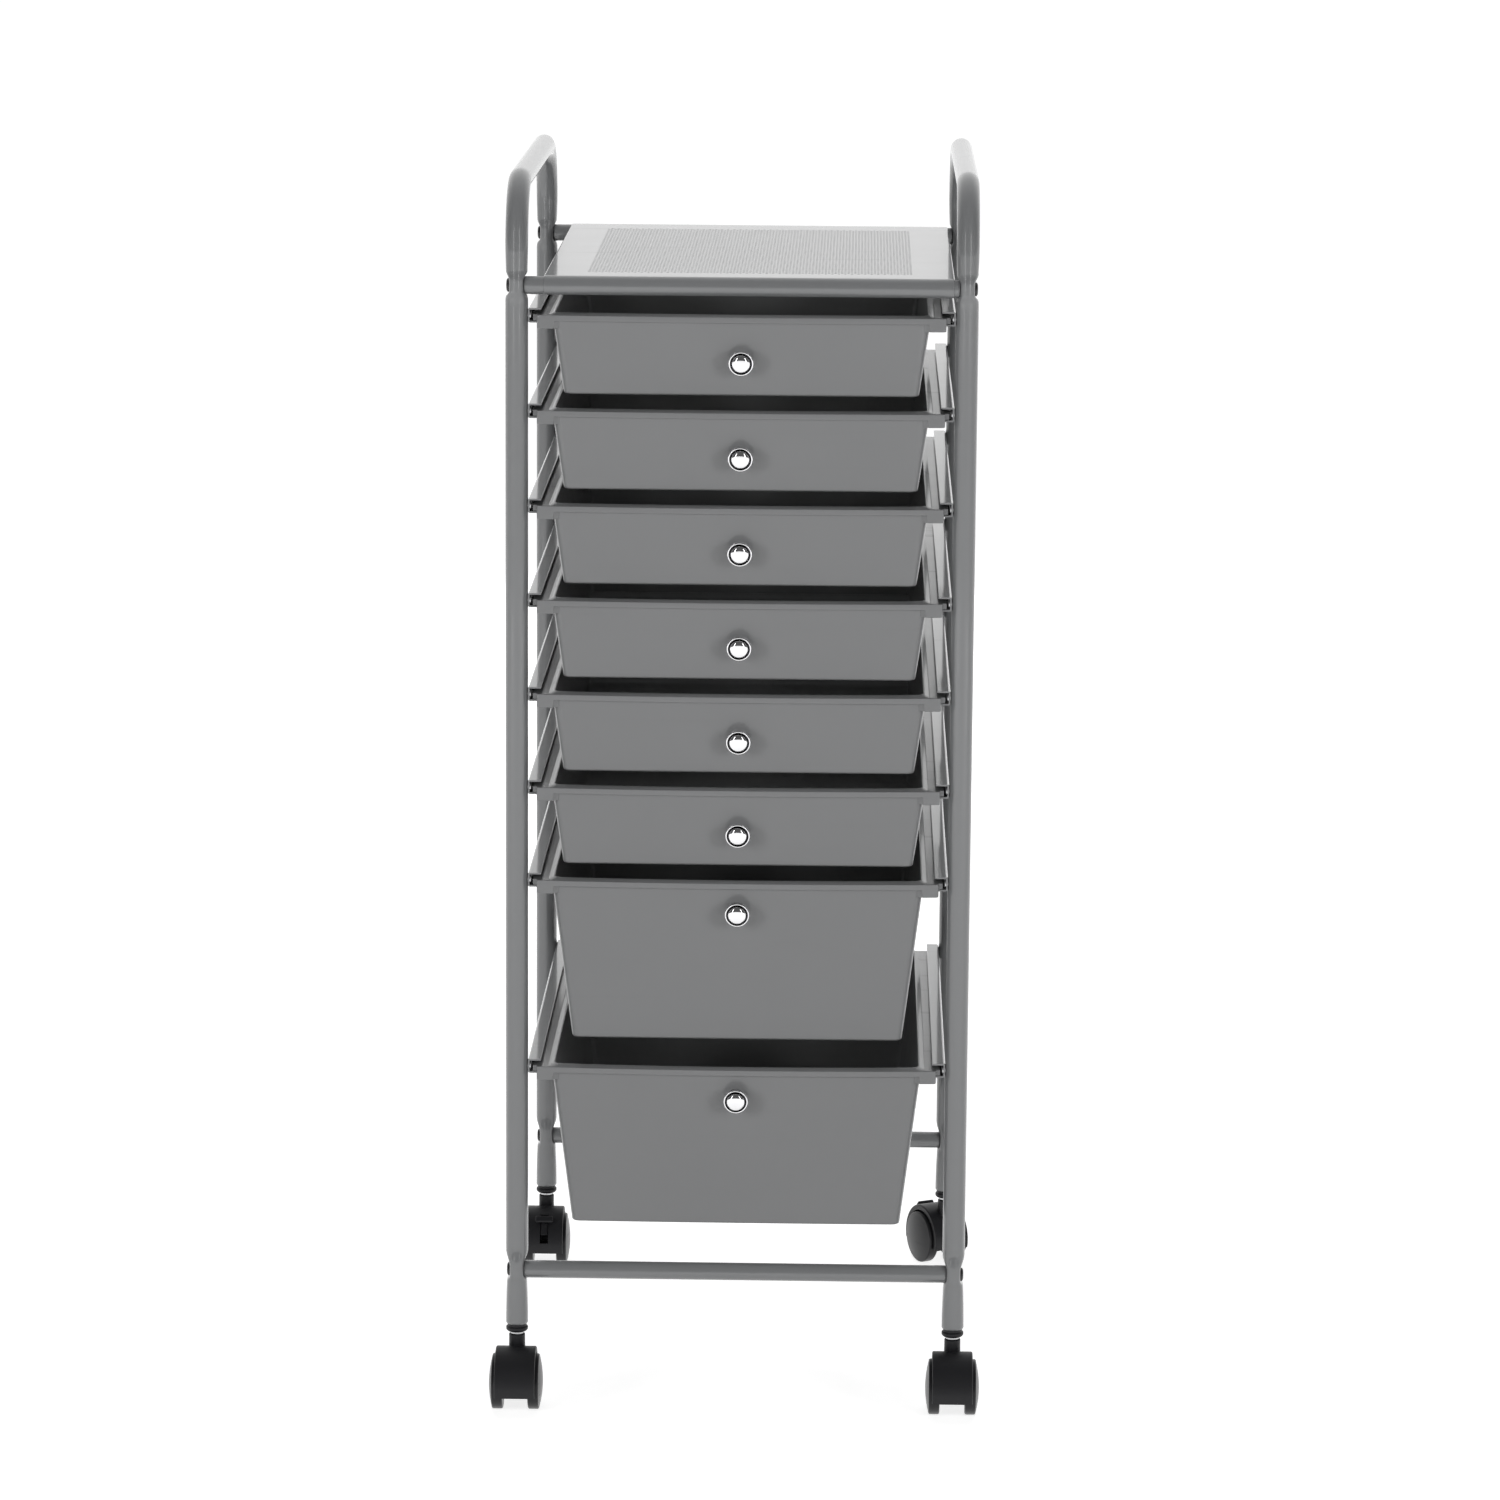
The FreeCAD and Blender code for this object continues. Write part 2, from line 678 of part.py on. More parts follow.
def make_drawer(name, height, draft):
    """Tapered tub, rim top at z = 0, hung from side flanges with a stop tab at each front corner."""
    body = new_body(name + "_tub")
    half = sizes.drawer_width / 2
    bow = {0: (arc_radius(half, sizes.front_bow), -1)}
    sketch = closed_sketch(body, name + "_walls_outline", "XY_Plane", tub_outline(ZERO), bow)
    walls = extrude(body, "Pad", name + "_walls", sketch, height, True, -draft)
    deep = value_of(height)

    def slanted(edge):
        return edge.BoundBox.ZLength > deep / 2

    def at_foot(edge):
        return edge.BoundBox.ZMax < -deep * 0.99

    corners = fillet(body, name + "_corners", walls, sizes.drawer_corner, slanted)
    fillet(body, name + "_foot", corners, sizes.drawer_foot_round, at_foot)

    # Rim plate: stop tabs in front of the rails, flanges inside them
    tab_x = half + sizes.tab_reach
    rim_front = -front_y - sizes.rim_overhang
    tab_back = rim_front + sizes.tab_depth
    rim_back = -front_y + sizes.drawer_depth + sizes.rim_overhang
    rim_corners = [
        (-tab_x, rim_front),
        (tab_x, rim_front),
        (tab_x, tab_back),
        (flange_x, tab_back),
        (flange_x, rim_back),
        (-flange_x, rim_back),
        (-flange_x, tab_back),
        (-tab_x, tab_back),
    ]
    rim_bow = {0: (arc_radius(tab_x, sizes.front_bow), -1)}
    rim = closed_sketch(body, name + "_rim_outline", "XY_Plane", rim_corners, rim_bow)
    extrude(body, "Pad", name + "_rim", rim, sizes.rim_height, True)
    for side, sign in (("left", -1), ("right", 1)):
        tab = [
            ((half - sizes.drawer_wall) * sign, rim_front),
            (tab_x * sign, rim_front),
            (tab_x * sign, tab_back),
            ((half - sizes.drawer_wall) * sign, tab_back),
        ]
        outline = closed_sketch(body, "%s_%s_tab_outline" % (name, side), "XY_Plane", tab)
        extrude(body, "Pad", "%s_%s_tab" % (name, side), outline, sizes.tab_height, True)

    inner_half = half - sizes.drawer_wall
    inner_bow = {0: (arc_radius(inner_half, sizes.front_bow), -1)}
    opening = closed_sketch(
        body, name + "_opening_outline", "XY_Plane", tub_outline(sizes.drawer_wall), inner_bow)
    inside = height - sizes.drawer_floor
    hollow = extrude(body, "Pocket", name + "_hollow", opening, inside, False, -draft)

    def inside_corner(edge):
        spread = edge.BoundBox
        return spread.ZLength > deep / 2 and abs(abs(spread.Center.x) - inner_half.value) < deep / 2 and \
            spread.ZMax > -sizes.rim_height.value / 2 and spread.ZMin > -deep + sizes.drawer_floor.value / 2

    fillet(body, name + "_inside", hollow, sizes.drawer_corner - sizes.drawer_wall, inside_corner)

    # The flanges are thin plates with a lip along their outer edges
    for side, sign in (("left", -1), ("right", 1)):
        trough = [
            ((half + sizes.drawer_wall / 4) * sign, tab_back + sizes.rim_sheet),
            ((flange_x - sizes.rim_sheet) * sign, tab_back + sizes.rim_sheet),
            ((flange_x - sizes.rim_sheet) * sign, rim_back - sizes.rim_sheet),
            ((half + sizes.drawer_wall / 4) * sign, rim_back - sizes.rim_sheet),
        ]
        outline = closed_sketch(body, "%s_%s_trough_outline" % (name, side), "XY_Plane", trough)
        outline.AttachmentOffset = FreeCAD.Placement(Vector(0, 0, -sizes.rim_height.value), Rotation())
        outline.setExpression("AttachmentOffset.Base.z", "-1 * " + sizes.rim_height.formula)
        under = sizes.rim_height - sizes.rim_sheet
        extrude(body, "Pocket", "%s_%s_trough" % (name, side), outline, under, True)
    return body


def knob_seat(drop, draft):
    """Middle of the knob's seat on the sloping bowed front, below a rim top at z = 0."""
    depth = sizes.rim_height + drop
    return -front_y - sizes.front_bow + depth * tangent(draft), -depth


def tilted(item, out, seat, draft, lean):
    """Lay an item over by a right angle on the sloping front, moved out along the front's own normal."""
    y, z = seat
    place(item, 0.0, y - out * cosine(draft), z - out * sine(draft))
    return turn_by(item, X_AXIS, draft + lean)


def make_drawers():
    outwards = 90
    inwards = -90
    knob = make_knob()
    screw = turned("knob_screw", head_and_shank(
        sizes.knob_screw_d,
        sizes.knob_screw_head_d,
        sizes.knob_screw_head_height,
        sizes.drawer_wall + sizes.knob_screw_grip,
    ))
    masters = {}
    for name, height, draft, drop in (
        ("shallow", sizes.shallow_height, sizes.shallow_draft, sizes.knob_drop_shallow),
        ("deep", sizes.deep_height, sizes.deep_draft, sizes.knob_drop_deep),
    ):
        tub = make_drawer(name, height, draft)
        seat = knob_seat(drop, draft)
        hole_r = sizes.knob_screw_d / 2 + sizes.screw_hole_clearance
        hole = cylinder(name + "_knob_hole", hole_r, sizes.drawer_wall * 4)
        tilted(hole, -sizes.drawer_wall * 2, seat, draft, outwards)
        masters[name] = (
            cut(name + "_drawer", tub, [hole]),
            tilted(group(name + "_knob", [knob]), ZERO, seat, draft, outwards),
            tilted(group(name + "_knob_screw", [screw]), -sizes.drawer_wall, seat, draft, inwards),
        )
    for number, rim in enumerate(drawer_rims, start=1):
        drawer, handle, fixing = masters["shallow" if number <= SHALLOW_COUNT else "deep"]
        node("drawer_%d" % number, copy_of("drawer_copy_%d" % number, drawer, z=rim))
        node("knob_%d" % number, copy_of("knob_copy_%d" % number, handle, z=rim))
        node("knob_screw_%d" % number, copy_of("knob_screw_copy_%d" % number, fixing, z=rim))


def make_knob():
    """Mushroom knob, base at z = 0: flared base, neck, round head and a raised domed crown."""
    head_top = sizes.knob_length - sizes.knob_crown_height
    head_base = head_top - sizes.knob_head_thickness
    crown_r = sizes.knob_crown_d / 2
    crown_arc = arc_radius(crown_r, sizes.knob_crown_height)
    return turned("knob", [
        (sizes.knob_screw_d / 2, 0),
        (sizes.knob_base_d / 2, 0),
        (sizes.knob_base_d / 2, sizes.knob_base_height / 2),
        (sizes.knob_neck_d / 2, sizes.knob_base_height),
        (sizes.knob_neck_d / 2, head_base),
        (sizes.knob_head_d / 2, head_base + sizes.knob_head_thickness / 2),
        (crown_r, head_top),
        (0, sizes.knob_length),
        (0, sizes.knob_screw_grip),
        (sizes.knob_screw_d / 2, sizes.knob_screw_grip),
    ], {6: (crown_arc, -1)})


def make_plugs_and_stems():
    """Plugs that close the tube ends and the steel stems that the casters turn on."""
    spigot_r = tube_r - sizes.tube_wall
    flange_r = sizes.plug_flange_d / 2
    stem_r = sizes.stem_d / 2
    flange_top = sizes.plug_flange_height
    lip = sizes.plug_flange_height / 4
    plug_top = flange_top + sizes.leg_foot - sizes.plug_end_gap
    stem_top = plug_top - sizes.plug_skin
    plug = turned("plug", [
        (stem_r, 0),
        (flange_r - lip, 0),
        (flange_r, lip),
        (flange_r, flange_top),
        (spigot_r, flange_top),
        (spigot_r, plug_top),
        (0, plug_top),
        (0, stem_top),
        (stem_r, stem_top),
    ])
    stem = turned("stem", [
        (0, stem_top),
        (stem_r, stem_top),
        (stem_r, 0),
        (sizes.collar_d / 2, 0),
        (sizes.collar_d / 2, -sizes.collar_height),
        (stem_r, -sizes.collar_height),
        (stem_r, -sizes.collar_height - sizes.swivel_gap - sizes.stem_depth),
        (0, -sizes.collar_height - sizes.swivel_gap - sizes.stem_depth),
    ])
    plugs = []
    stems = []
    for post, (side, end) in POSTS.items():
        plugs.append(copy_of("plug_" + post, plug, post_x * side, post_y * end, plug_base))
        stems.append(copy_of("stem_" + post, stem, post_x * side, post_y * end, plug_base))
    node("tube_plugs", group("all_plugs", plugs))
    node("caster_stems", group("all_stems", stems))


def make_hood():
    """Caster hood, stem axis on Z: a drum about the axle with a wheel well each side and a neck."""
    half = sizes.hood_width / 2
    core = sizes.wheel_gap / 2 - sizes.core_clearance
    drum = cylinder("hood_drum", hood_r, sizes.hood_width, -half, -sizes.trail, wheel_r, TO_PLUS_X)
    neck = cylinder("hood_neck", sizes.neck_d / 2, neck_top - wheel_r, 0.0, 0.0, wheel_r)
    solid = fuse("hood_solid", [drum, neck])
    bore_r = sizes.stem_d / 2 + sizes.running_clearance
    bore_depth = sizes.stem_depth + sizes.stem_end_gap
    opening = hood_r - wheel_r + sizes.hood_lower_edge
    drum_front = -sizes.trail - hood_r
    tools = [
        cylinder("hood_left_well", well_r, half - core, -half, -sizes.trail, wheel_r, TO_PLUS_X),
        cylinder("hood_right_well", well_r, half - core, core, -sizes.trail, wheel_r, TO_PLUS_X),
        box("hood_underside", half * 2, hood_r * 2, opening, -half, drum_front, wheel_r - hood_r),
        cylinder("hood_axle_hole", sizes.axle_d / 2, core * 2, -core, -sizes.trail, wheel_r, TO_PLUS_X),
        cylinder("hood_bore", bore_r, bore_depth, 0.0, 0.0, neck_top - bore_depth),
    ]
    return cut("hood", solid, tools)


def at_brake(item):
    """Move an item made about the brake's pivot, outwards being -Y, to its place on the hood."""
    reach = hood_r - sizes.brake_pivot_inset
    y = -sizes.trail - reach * cosine(sizes.brake_angle)
    z = wheel_r + reach * sine(sizes.brake_angle)
    return turn_by(place(item, 0.0, y, z), X_AXIS, -sizes.brake_angle)


def middle_box(name, width, depth, height, out, low):
    """Box midway across X, from out towards the pivot by its depth, and up from low."""
    return box(name, width, depth, height, -width / 2, -out, low)


def middle_pin(name, diameter, length):
    """Pin through the pivot along X."""
    return cylinder(name, diameter / 2, length, -length / 2, turn=TO_PLUS_X)


def make_brake_hood(hood):
    """Hood with a slot for the brake lever and a hole each side for its pivot."""
    inset = sizes.brake_pivot_inset
    deep = inset + sizes.brake_boss_d / 2 + sizes.brake_side_gap
    height = sizes.brake_slot_below + sizes.brake_slot_above
    slot = middle_box("brake_slot", sizes.brake_slot_width, deep, height, inset, -sizes.brake_slot_below)
    span = sizes.brake_slot_width + sizes.brake_pin_reach * 2
    hole = middle_pin("brake_pivot_hole", sizes.brake_pivot_d + sizes.running_clearance * 2, span)
    return cut("brake_hood", hood, [at_brake(group("brake_cuts", [slot, hole]))])


def make_brake_lever():
    """Rocker on stub pins in the hood, with an arm through the slot to a cross bar outside."""
    slot = sizes.brake_slot_width
    boss = middle_pin("brake_boss", sizes.brake_boss_d, slot - sizes.brake_side_gap * 2)
    span = slot + sizes.brake_pin_reach * 2 - sizes.brake_side_gap
    pins = middle_pin("brake_pins", sizes.brake_pivot_d, span)
    bar_back = sizes.brake_pivot_inset + sizes.brake_bar_stand
    reach = bar_back + sizes.brake_bar_depth / 2
    thick = sizes.brake_arm_height
    arm = middle_box("brake_arm", sizes.brake_arm_width, reach, thick, reach, -thick / 2)
    depth = sizes.brake_bar_depth
    tall = sizes.brake_bar_height
    bar = middle_box("brake_bar", sizes.brake_bar_width, depth, tall, bar_back + depth, -tall / 2)
    return at_brake(fuse("brake_lever", [boss, pins, arm, bar]))


def make_wheel():
    """Right wheel of a caster about Z before it is laid over: flat tread and a domed closed face."""
    inner = sizes.wheel_gap / 2
    rim = inner + sizes.wheel_width
    face = rim + sizes.wheel_dome
    bore = sizes.axle_d / 2 + sizes.running_clearance
    dome_r = wheel_r - sizes.wheel_round
    return turned("wheel", [
        (bore, inner),
        (wheel_r - sizes.wheel_round, inner),
        (wheel_r, inner + sizes.wheel_round),
        (wheel_r, rim - sizes.wheel_round),
        (dome_r, rim),
        (0, face),
        (0, rim - sizes.hub_skin),
        (bore, rim - sizes.hub_skin),
    ], {4: (arc_radius(dome_r, sizes.wheel_dome), -1)})


def make_casters():
    hood = make_hood()
    brake_hood = make_brake_hood(hood)
    lever = make_brake_lever()
    wheel = make_wheel()
    right = copy_of("wheel_on_right", wheel, 0.0, -sizes.trail, wheel_r, TO_PLUS_X)
    left = copy_of("wheel_on_left", wheel, 0.0, -sizes.trail, wheel_r, TO_MINUS_X)
    axle_half = sizes.wheel_gap / 2 + sizes.wheel_width - sizes.hub_skin - sizes.axle_end_gap
    axle = cylinder("axle", sizes.axle_d / 2, axle_half * 2, -axle_half, -sizes.trail, wheel_r, TO_PLUS_X)
    swivels = {"rear_right": sizes.rear_right_swivel}
    for post, (side, end) in POSTS.items():
        braked = end > 0
        pieces = {
            "caster_hood_": brake_hood if braked else hood,
            "caster_axle_": axle,
            "wheel_left_": left,
            "wheel_right_": right,
        }
        if braked:
            pieces["brake_lever_"] = lever
        for prefix, master in pieces.items():
            item = copy_of("on_" + prefix + post, master, post_x * side, post_y * end)
            if post in swivels:
                turn_by(item, Z_AXIS, swivels[post])
            node(prefix + post, item)


def build():
    make_side_frames()
    make_rods()
    make_top_panel()
    make_rails()
    make_drawers()
    make_plugs_and_stems()
    make_casters()
    doc.recompute()


def check():
    """Stop before anything is written if an object failed or a sub-part isn't sound."""
    for item in doc.Objects:
        if "Invalid" in item.State or "Error" in item.State:
            raise RuntimeError("%s failed: %s" % (item.Name, item.State))
    for item in NODES:
        if item.Shape.isNull() or not item.Shape.isValid() or not item.Shape.Solids:
            raise RuntimeError("%s has no sound shape" % item.Label)


def write():
    os.makedirs("parts", exist_ok=True)
    for item in NODES:
        item.Shape.exportStep("parts/%s.step" % item.Label)


build()
check()
write()
print("%d sub-parts, %d solids" % (len(NODES), sum(len(item.Shape.Solids) for item in NODES)))
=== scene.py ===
"""Rolling drawer cart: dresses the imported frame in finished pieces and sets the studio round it.

Metres, +Z up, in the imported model's own frame. X runs across the cart and the drawers open towards -Y.
"""
import json
import math

import bmesh
import bpy
import numpy as np
from bpy.props import FloatProperty, FloatVectorProperty, PointerProperty
from mathutils import Matrix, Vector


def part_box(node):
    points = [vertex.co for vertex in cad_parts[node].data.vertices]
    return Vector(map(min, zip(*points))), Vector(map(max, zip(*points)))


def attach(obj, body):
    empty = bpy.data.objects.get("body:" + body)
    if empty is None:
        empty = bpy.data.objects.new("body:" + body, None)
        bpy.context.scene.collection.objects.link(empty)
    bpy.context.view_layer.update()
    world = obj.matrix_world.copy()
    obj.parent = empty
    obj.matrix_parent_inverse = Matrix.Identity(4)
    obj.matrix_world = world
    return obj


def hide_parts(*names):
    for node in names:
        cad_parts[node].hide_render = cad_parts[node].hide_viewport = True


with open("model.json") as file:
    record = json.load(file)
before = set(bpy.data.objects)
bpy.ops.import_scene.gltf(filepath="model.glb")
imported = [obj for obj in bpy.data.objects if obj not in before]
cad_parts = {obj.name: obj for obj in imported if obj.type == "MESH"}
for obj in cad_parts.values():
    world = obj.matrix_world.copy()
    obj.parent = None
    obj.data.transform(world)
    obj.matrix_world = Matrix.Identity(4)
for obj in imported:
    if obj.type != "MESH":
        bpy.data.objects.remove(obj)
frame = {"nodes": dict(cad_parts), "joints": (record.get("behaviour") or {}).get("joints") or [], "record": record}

bl_info = {
    "name": "Rolling drawer cart",
    "version": (1, 0, 0),
    "blender": (4, 5, 0),
    "location": "3D View > Sidebar > Drawer cart",
    "description": "Makes the finished pieces of a rolling drawer cart and a plain studio round it",
    "category": "Object",
}

MM = 0.001
WELD = 2e-6
CREASE = math.radians(38.0)
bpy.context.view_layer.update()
JOINTS = {joint["name"]: joint for joint in frame["joints"]}
COLOURS = {entry["slot"]: tuple(entry["base_color"]) for entry in frame["record"]["materials"]}
SIDES = {"left": -1, "right": 1}
ENDS = {"front": -1, "rear": 1}
POSTS = {"front_left": (-1, -1), "front_right": (1, -1), "rear_left": (-1, 1), "rear_right": (1, 1)}
DRAWERS = range(1, 9)
SHALLOW_COUNT = 6


def span(node):
    """Lowest and highest corners of a CAD node as two arrays."""
    low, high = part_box(node)
    return np.array(low), np.array(high)


# Main sizes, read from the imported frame
SIDE_LOW, SIDE_HIGH = span("side_frame_right")
ROD_LOW, ROD_HIGH = span("bottom_rod_rear")
PANEL_LOW, PANEL_HIGH = span("top_panel")
RAIL_LOW, RAIL_HIGH = span("rails_right")
RIMS = {number: span("drawer_%d" % number)[1][2] for number in DRAWERS}
HEIGHTS = {number: RIMS[number] - span("drawer_%d" % number)[0][2] for number in DRAWERS}
DRAWER_LOW, DRAWER_HIGH = span("drawer_1")
POST_X = (SIDE_LOW[0] + SIDE_HIGH[0]) / 2
POST_Y = (ROD_LOW[1] + ROD_HIGH[1]) / 2
TUBE_R = (SIDE_HIGH[0] - SIDE_LOW[0]) / 2
TUBE_BULGE = SIDE_HIGH[1] - POST_Y
TUBE_FOOT = SIDE_LOW[2]
HANDLE_Z = SIDE_HIGH[2] - TUBE_R
ROD_R = (ROD_HIGH[2] - ROD_LOW[2]) / 2
ROD_HALF = ROD_HIGH[0]
ROD_LEVELS = {level: span("%s_rod_front" % level)[1][2] - ROD_R for level in ("bottom", "top")}
PANEL_OUTER = PANEL_HIGH[2] - ROD_LEVELS["top"]
RAIL_DROP = RIMS[max(DRAWERS)] - RAIL_LOW[2]
RAIL_TALL = RAIL_HIGH[2] - RIMS[min(DRAWERS)] + RAIL_DROP
FLANGE_HALF = DRAWER_HIGH[0]
RIM_BACK = DRAWER_HIGH[1]
RIM_FRONT = DRAWER_LOW[1]


def length(label, text, millimetres):
    """A size in metres that the panel shows as a distance."""
    return FloatProperty(name=label, description=text, default=millimetres * MM, unit="LENGTH", precision=5)


def colour(label, text, slot):
    """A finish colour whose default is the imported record's."""
    return FloatVectorProperty(
        name=label, description=text, default=COLOURS[slot], size=3, min=0.0, max=1.0, subtype="COLOR")


def share(label, text, value):
    """A plain number from 0 to 1."""
    return FloatProperty(name=label, description=text, default=value, min=0.0, max=1.0, subtype="FACTOR")


def angle(label, text, degrees):
    """A slope or turn that the panel shows in degrees."""
    return FloatProperty(name=label, description=text, default=math.radians(degrees), subtype="ANGLE")


def power(label, text, watts):
    """The power of one lamp."""
    return FloatProperty(name=label, description=text, default=watts, unit="POWER")


class CartFinish(bpy.types.PropertyGroup):
    """Colours and gloss of the cart's finishes."""
    frame_paint: colour("Frame paint", "Colour of the tubes and cross rods", "frame_paint")
    rail_paint: colour("Rail paint", "Colour of the channel rails", "rail_paint")
    panel_paint: colour("Top paint", "Colour of the perforated sheet top", "panel_paint")
    drawer_plastic: colour("Drawer plastic", "Colour of the moulded drawers", "drawer_plastic")
    knob_chrome: colour("Knob chrome", "Colour of the polished knobs", "knob_chrome")
    bare_steel: colour("Bare steel", "Colour of stems, axles and plated screws", "bare_steel")
    black_screw: colour("Black screws", "Colour of the blackened screws", "black_screw")
    # The black plastic colour is also painted into the knobs' grooves as painted shade
    black_plastic: colour("Black plastic", "Colour of hoods, plugs and brake levers", "black_plastic")
    wheel_plastic: colour("Wheel plastic", "Colour of the caster wheels", "wheel_plastic")
    paint_roughness: share("Paint roughness", "Roughness of the grey paint under its clear gloss", 0.34)
    paint_coat: share("Paint gloss", "Weight of the clear gloss on the paint", 0.85)
    drawer_roughness: share("Drawer roughness", "Roughness of the satin drawer plastic", 0.4)
    drawer_coat: share("Drawer gloss", "Weight of the clear gloss on the drawer plastic", 0.6)
    chrome_roughness: share("Chrome roughness", "Roughness of the polished knobs", 0.06)
    steel_roughness: share("Steel roughness", "Roughness of the plated steel", 0.3)
    black_roughness: share("Black roughness", "Roughness of the satin black plastic", 0.42)
    wheel_roughness: share("Wheel roughness", "Roughness of the smooth wheel plastic", 0.3)
    black_shine: share("Black shine", "Strength of the shine on the black plastics", 0.3)


class CartShape(bpy.types.PropertyGroup):
    """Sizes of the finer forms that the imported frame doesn't hold."""
    bend_radius: length("Handle bend", "Radius of the handle's bends at the tube's middle", 45.0)
    pinch_soft: length("Pinch softness", "Rounding where a flattened stretch meets the round tube", 1.6)
    rod_round: length("Rod end round", "Rounding of the cross rods' ends", 1.2)
    hole_pitch: length("Hole pitch", "Spacing of the sheet top's holes along a row", 4.6)
    hole_width: length("Hole width", "Width of one hole of the sheet top", 2.3)
    hole_margin_side: length("Side margin", "Plain sheet beside the field of holes", 27.5)
    hole_margin_front: length("Front margin", "Plain sheet between the front rod and the holes", 24.0)
    hole_margin_rear: length("Rear margin", "Plain sheet between the holes and the rear rod", 34.0)
    sheet: length("Sheet", "Thickness of the sheet top", 0.6)
    rail_sheet: length("Rail sheet", "Thickness of the rails", 1.2)
    rail_top: length("Rail top flange", "Width of a rail's upper flange", 9.4)
    rail_bottom: length("Rail bottom flange", "Width of a rail's lower flange", 8.5)
    drawer_half: length("Drawer half width", "Half of the drawer's width at its rim", 132.0)
    front_bow: length("Front bow", "How far the drawer fronts bow out in the middle", 5.0)
    rim_stand: length("Rim stand", "How far the rim's lip stands out from the walls", 2.4)
    rim_lip: length("Rim lip", "Height of the lip round the rim", 4.3)
    rim_bead: length("Rim bead", "Height of the raised bead round the opening", 1.5)
    tab_half: length("Tab half width", "Half width over the stop tabs at the front corners", 142.5)
    tab_tall: length("Tab height", "Height of the stop tabs", 9.6)
    wall: length("Drawer wall", "Thickness of the drawer walls", 1.8)
    floor: length("Drawer floor", "Thickness of the drawer floors", 2.0)
    corner: length("Drawer corner", "Outer radius of a drawer's upright corners", 6.0)
    rim_sheet: length("Rim sheet", "Thickness of the rim's flange and lip", 1.8)
    tab_long: length("Tab length", "Length of a stop tab from front to back", 4.2)
    draft_shallow: angle("Draft, shallow", "Slope of a shallow drawer's walls", 8.2)
    draft_deep: angle("Draft, deep", "Slope of a deep drawer's walls", 7.0)
    foot_bow: share("Foot bow", "Share of the front's bow that is left at a drawer's foot", 0.2)
    knob_drop_shallow: length("Knob drop, shallow", "Depth of a shallow drawer's knob below the rim", 30.5)
    knob_drop_deep: length("Knob drop, deep", "Depth of a deep drawer's knob below the rim", 20.4)
    knob_width: length("Knob width", "Width of the knob's head", 18.5)
    knob_long: length("Knob length", "Length of the knob", 13.0)
    knob_crown: length("Knob crown", "Radius of the knob's domed crown", 6.4)
    knob_gap: length("Knob gap", "Width of the groove round the crown", 1.3)
    knob_groove: length("Knob groove", "Depth of the groove round the crown", 1.6)
    plug_foot: length("Plug foot", "Height of the tube plugs' lower face", 54.0)
    neck_top: length("Neck top", "Height of the top of the casters' necks", 52.0)
    hood_width: length("Hood width", "Width of a caster hood", 29.0)
    hood_core: length("Hood core", "Half width of the hood between the wheels", 8.4)
    hood_radius: length("Hood radius", "Outer radius of the hood", 25.3)
    hood_skin: length("Hood skin", "Thickness of the hood over the wheels", 4.3)
    hood_edge: length("Hood edge", "Height of the hood's lower edge above the floor", 14.0)
    wheel_inner: length("Wheel place", "Distance of a wheel's inner face from the caster's middle", 9.0)
    wheel_width: length("Wheel width", "Width of a wheel's tread", 8.0)
    wheel_dome: length("Wheel dome", "How far a wheel's face bulges", 2.4)
    brake_angle: angle("Brake angle", "Angle of the brake above level", 45.0)
    brake_inset: length("Brake inset", "Depth of the brake's pivot below the hood's surface", 8.0)
    plate_lag: angle("Plate lag", "Angle from the brake down to the middle of its plate", 14.0)
    slot_run: angle("Slot run", "Angle from the brake down to the slot's lower end", 40.0)
    slot_above: length("Slot above", "How far the slot reaches above the brake", 7.0)
    slot_half: length("Slot half width", "Half of the slot's width", 3.2)
    slot_deep: length("Slot depth", "Depth of the slot", 11.4)


class CartStage(bpy.types.PropertyGroup):
    """Camera, lamps and background of the studio."""
    camera_place: FloatVectorProperty(
        name="Camera place", description="Where the camera stands", default=(0.08318, -4.08504, 1.2264),
        size=3, subtype="TRANSLATION", unit="LENGTH")
    camera_pitch: angle("Camera pitch", "How far the camera looks down", 10.813)
    camera_yaw: angle("Camera yaw", "How far the camera turns right", -1.106)
    camera_roll: angle("Camera roll", "How far the camera leans", 0.43)
    camera_lens: FloatProperty(
        name="Camera lens", description="Focal length on the camera's sensor", default=134.7,
        subtype="DISTANCE_CAMERA")
    slim_power: power("Slim lamps", "Power of each of the two slim lamps in front", 9.0)
    soft_power: power("Soft lamps", "Power of each of the two soft lamps at the sides", 36.0)
    top_power: power("Top lamp", "Power of the soft lamp overhead", 24.0)
    back_power: power("Back lamp", "Power of the soft lamp behind the cart", 40.0)
    room_light: share("Room light", "Light from the room in front on dull surfaces", 0.1)
    room_dusk: share("Room dusk", "Light from the room behind on dull surfaces", 0.04)
    room_dark: share("Room shade", "Brightness of the room in front, as gloss shows it", 0.1)
    floor_glow: share("Floor glow", "White added to the floor for the camera, near the cart", 0.78)
    glow_start: length("Glow start", "Distance from the cart where the floor starts to whiten", 500.0)
    glow_end: length("Glow end", "Distance from the cart where the floor is wholly white", 3500.0)


def unit(vector):
    """Vector or rows of vectors scaled to length 1."""
    vector = np.asarray(vector, float)
    size = np.linalg.norm(vector, axis=-1, keepdims=True)
    return vector / np.maximum(size, 1e-12)


def grid(points, wrap_rows=False, wrap_columns=False):
    """Quads over a grid of points: each joins two neighbours in a row and the same two in the next row."""
    rows, columns = points.shape[:2]
    index = np.arange(rows * columns).reshape(rows, columns)
    if wrap_rows:
        index = np.vstack([index, index[:1]])
    if wrap_columns:
        index = np.hstack([index, index[:, :1]])
    quads = np.stack([index[:-1, :-1], index[:-1, 1:], index[1:, 1:], index[1:, :-1]], axis=-1)
    return points.reshape(-1, 3), quads.reshape(-1, 4)


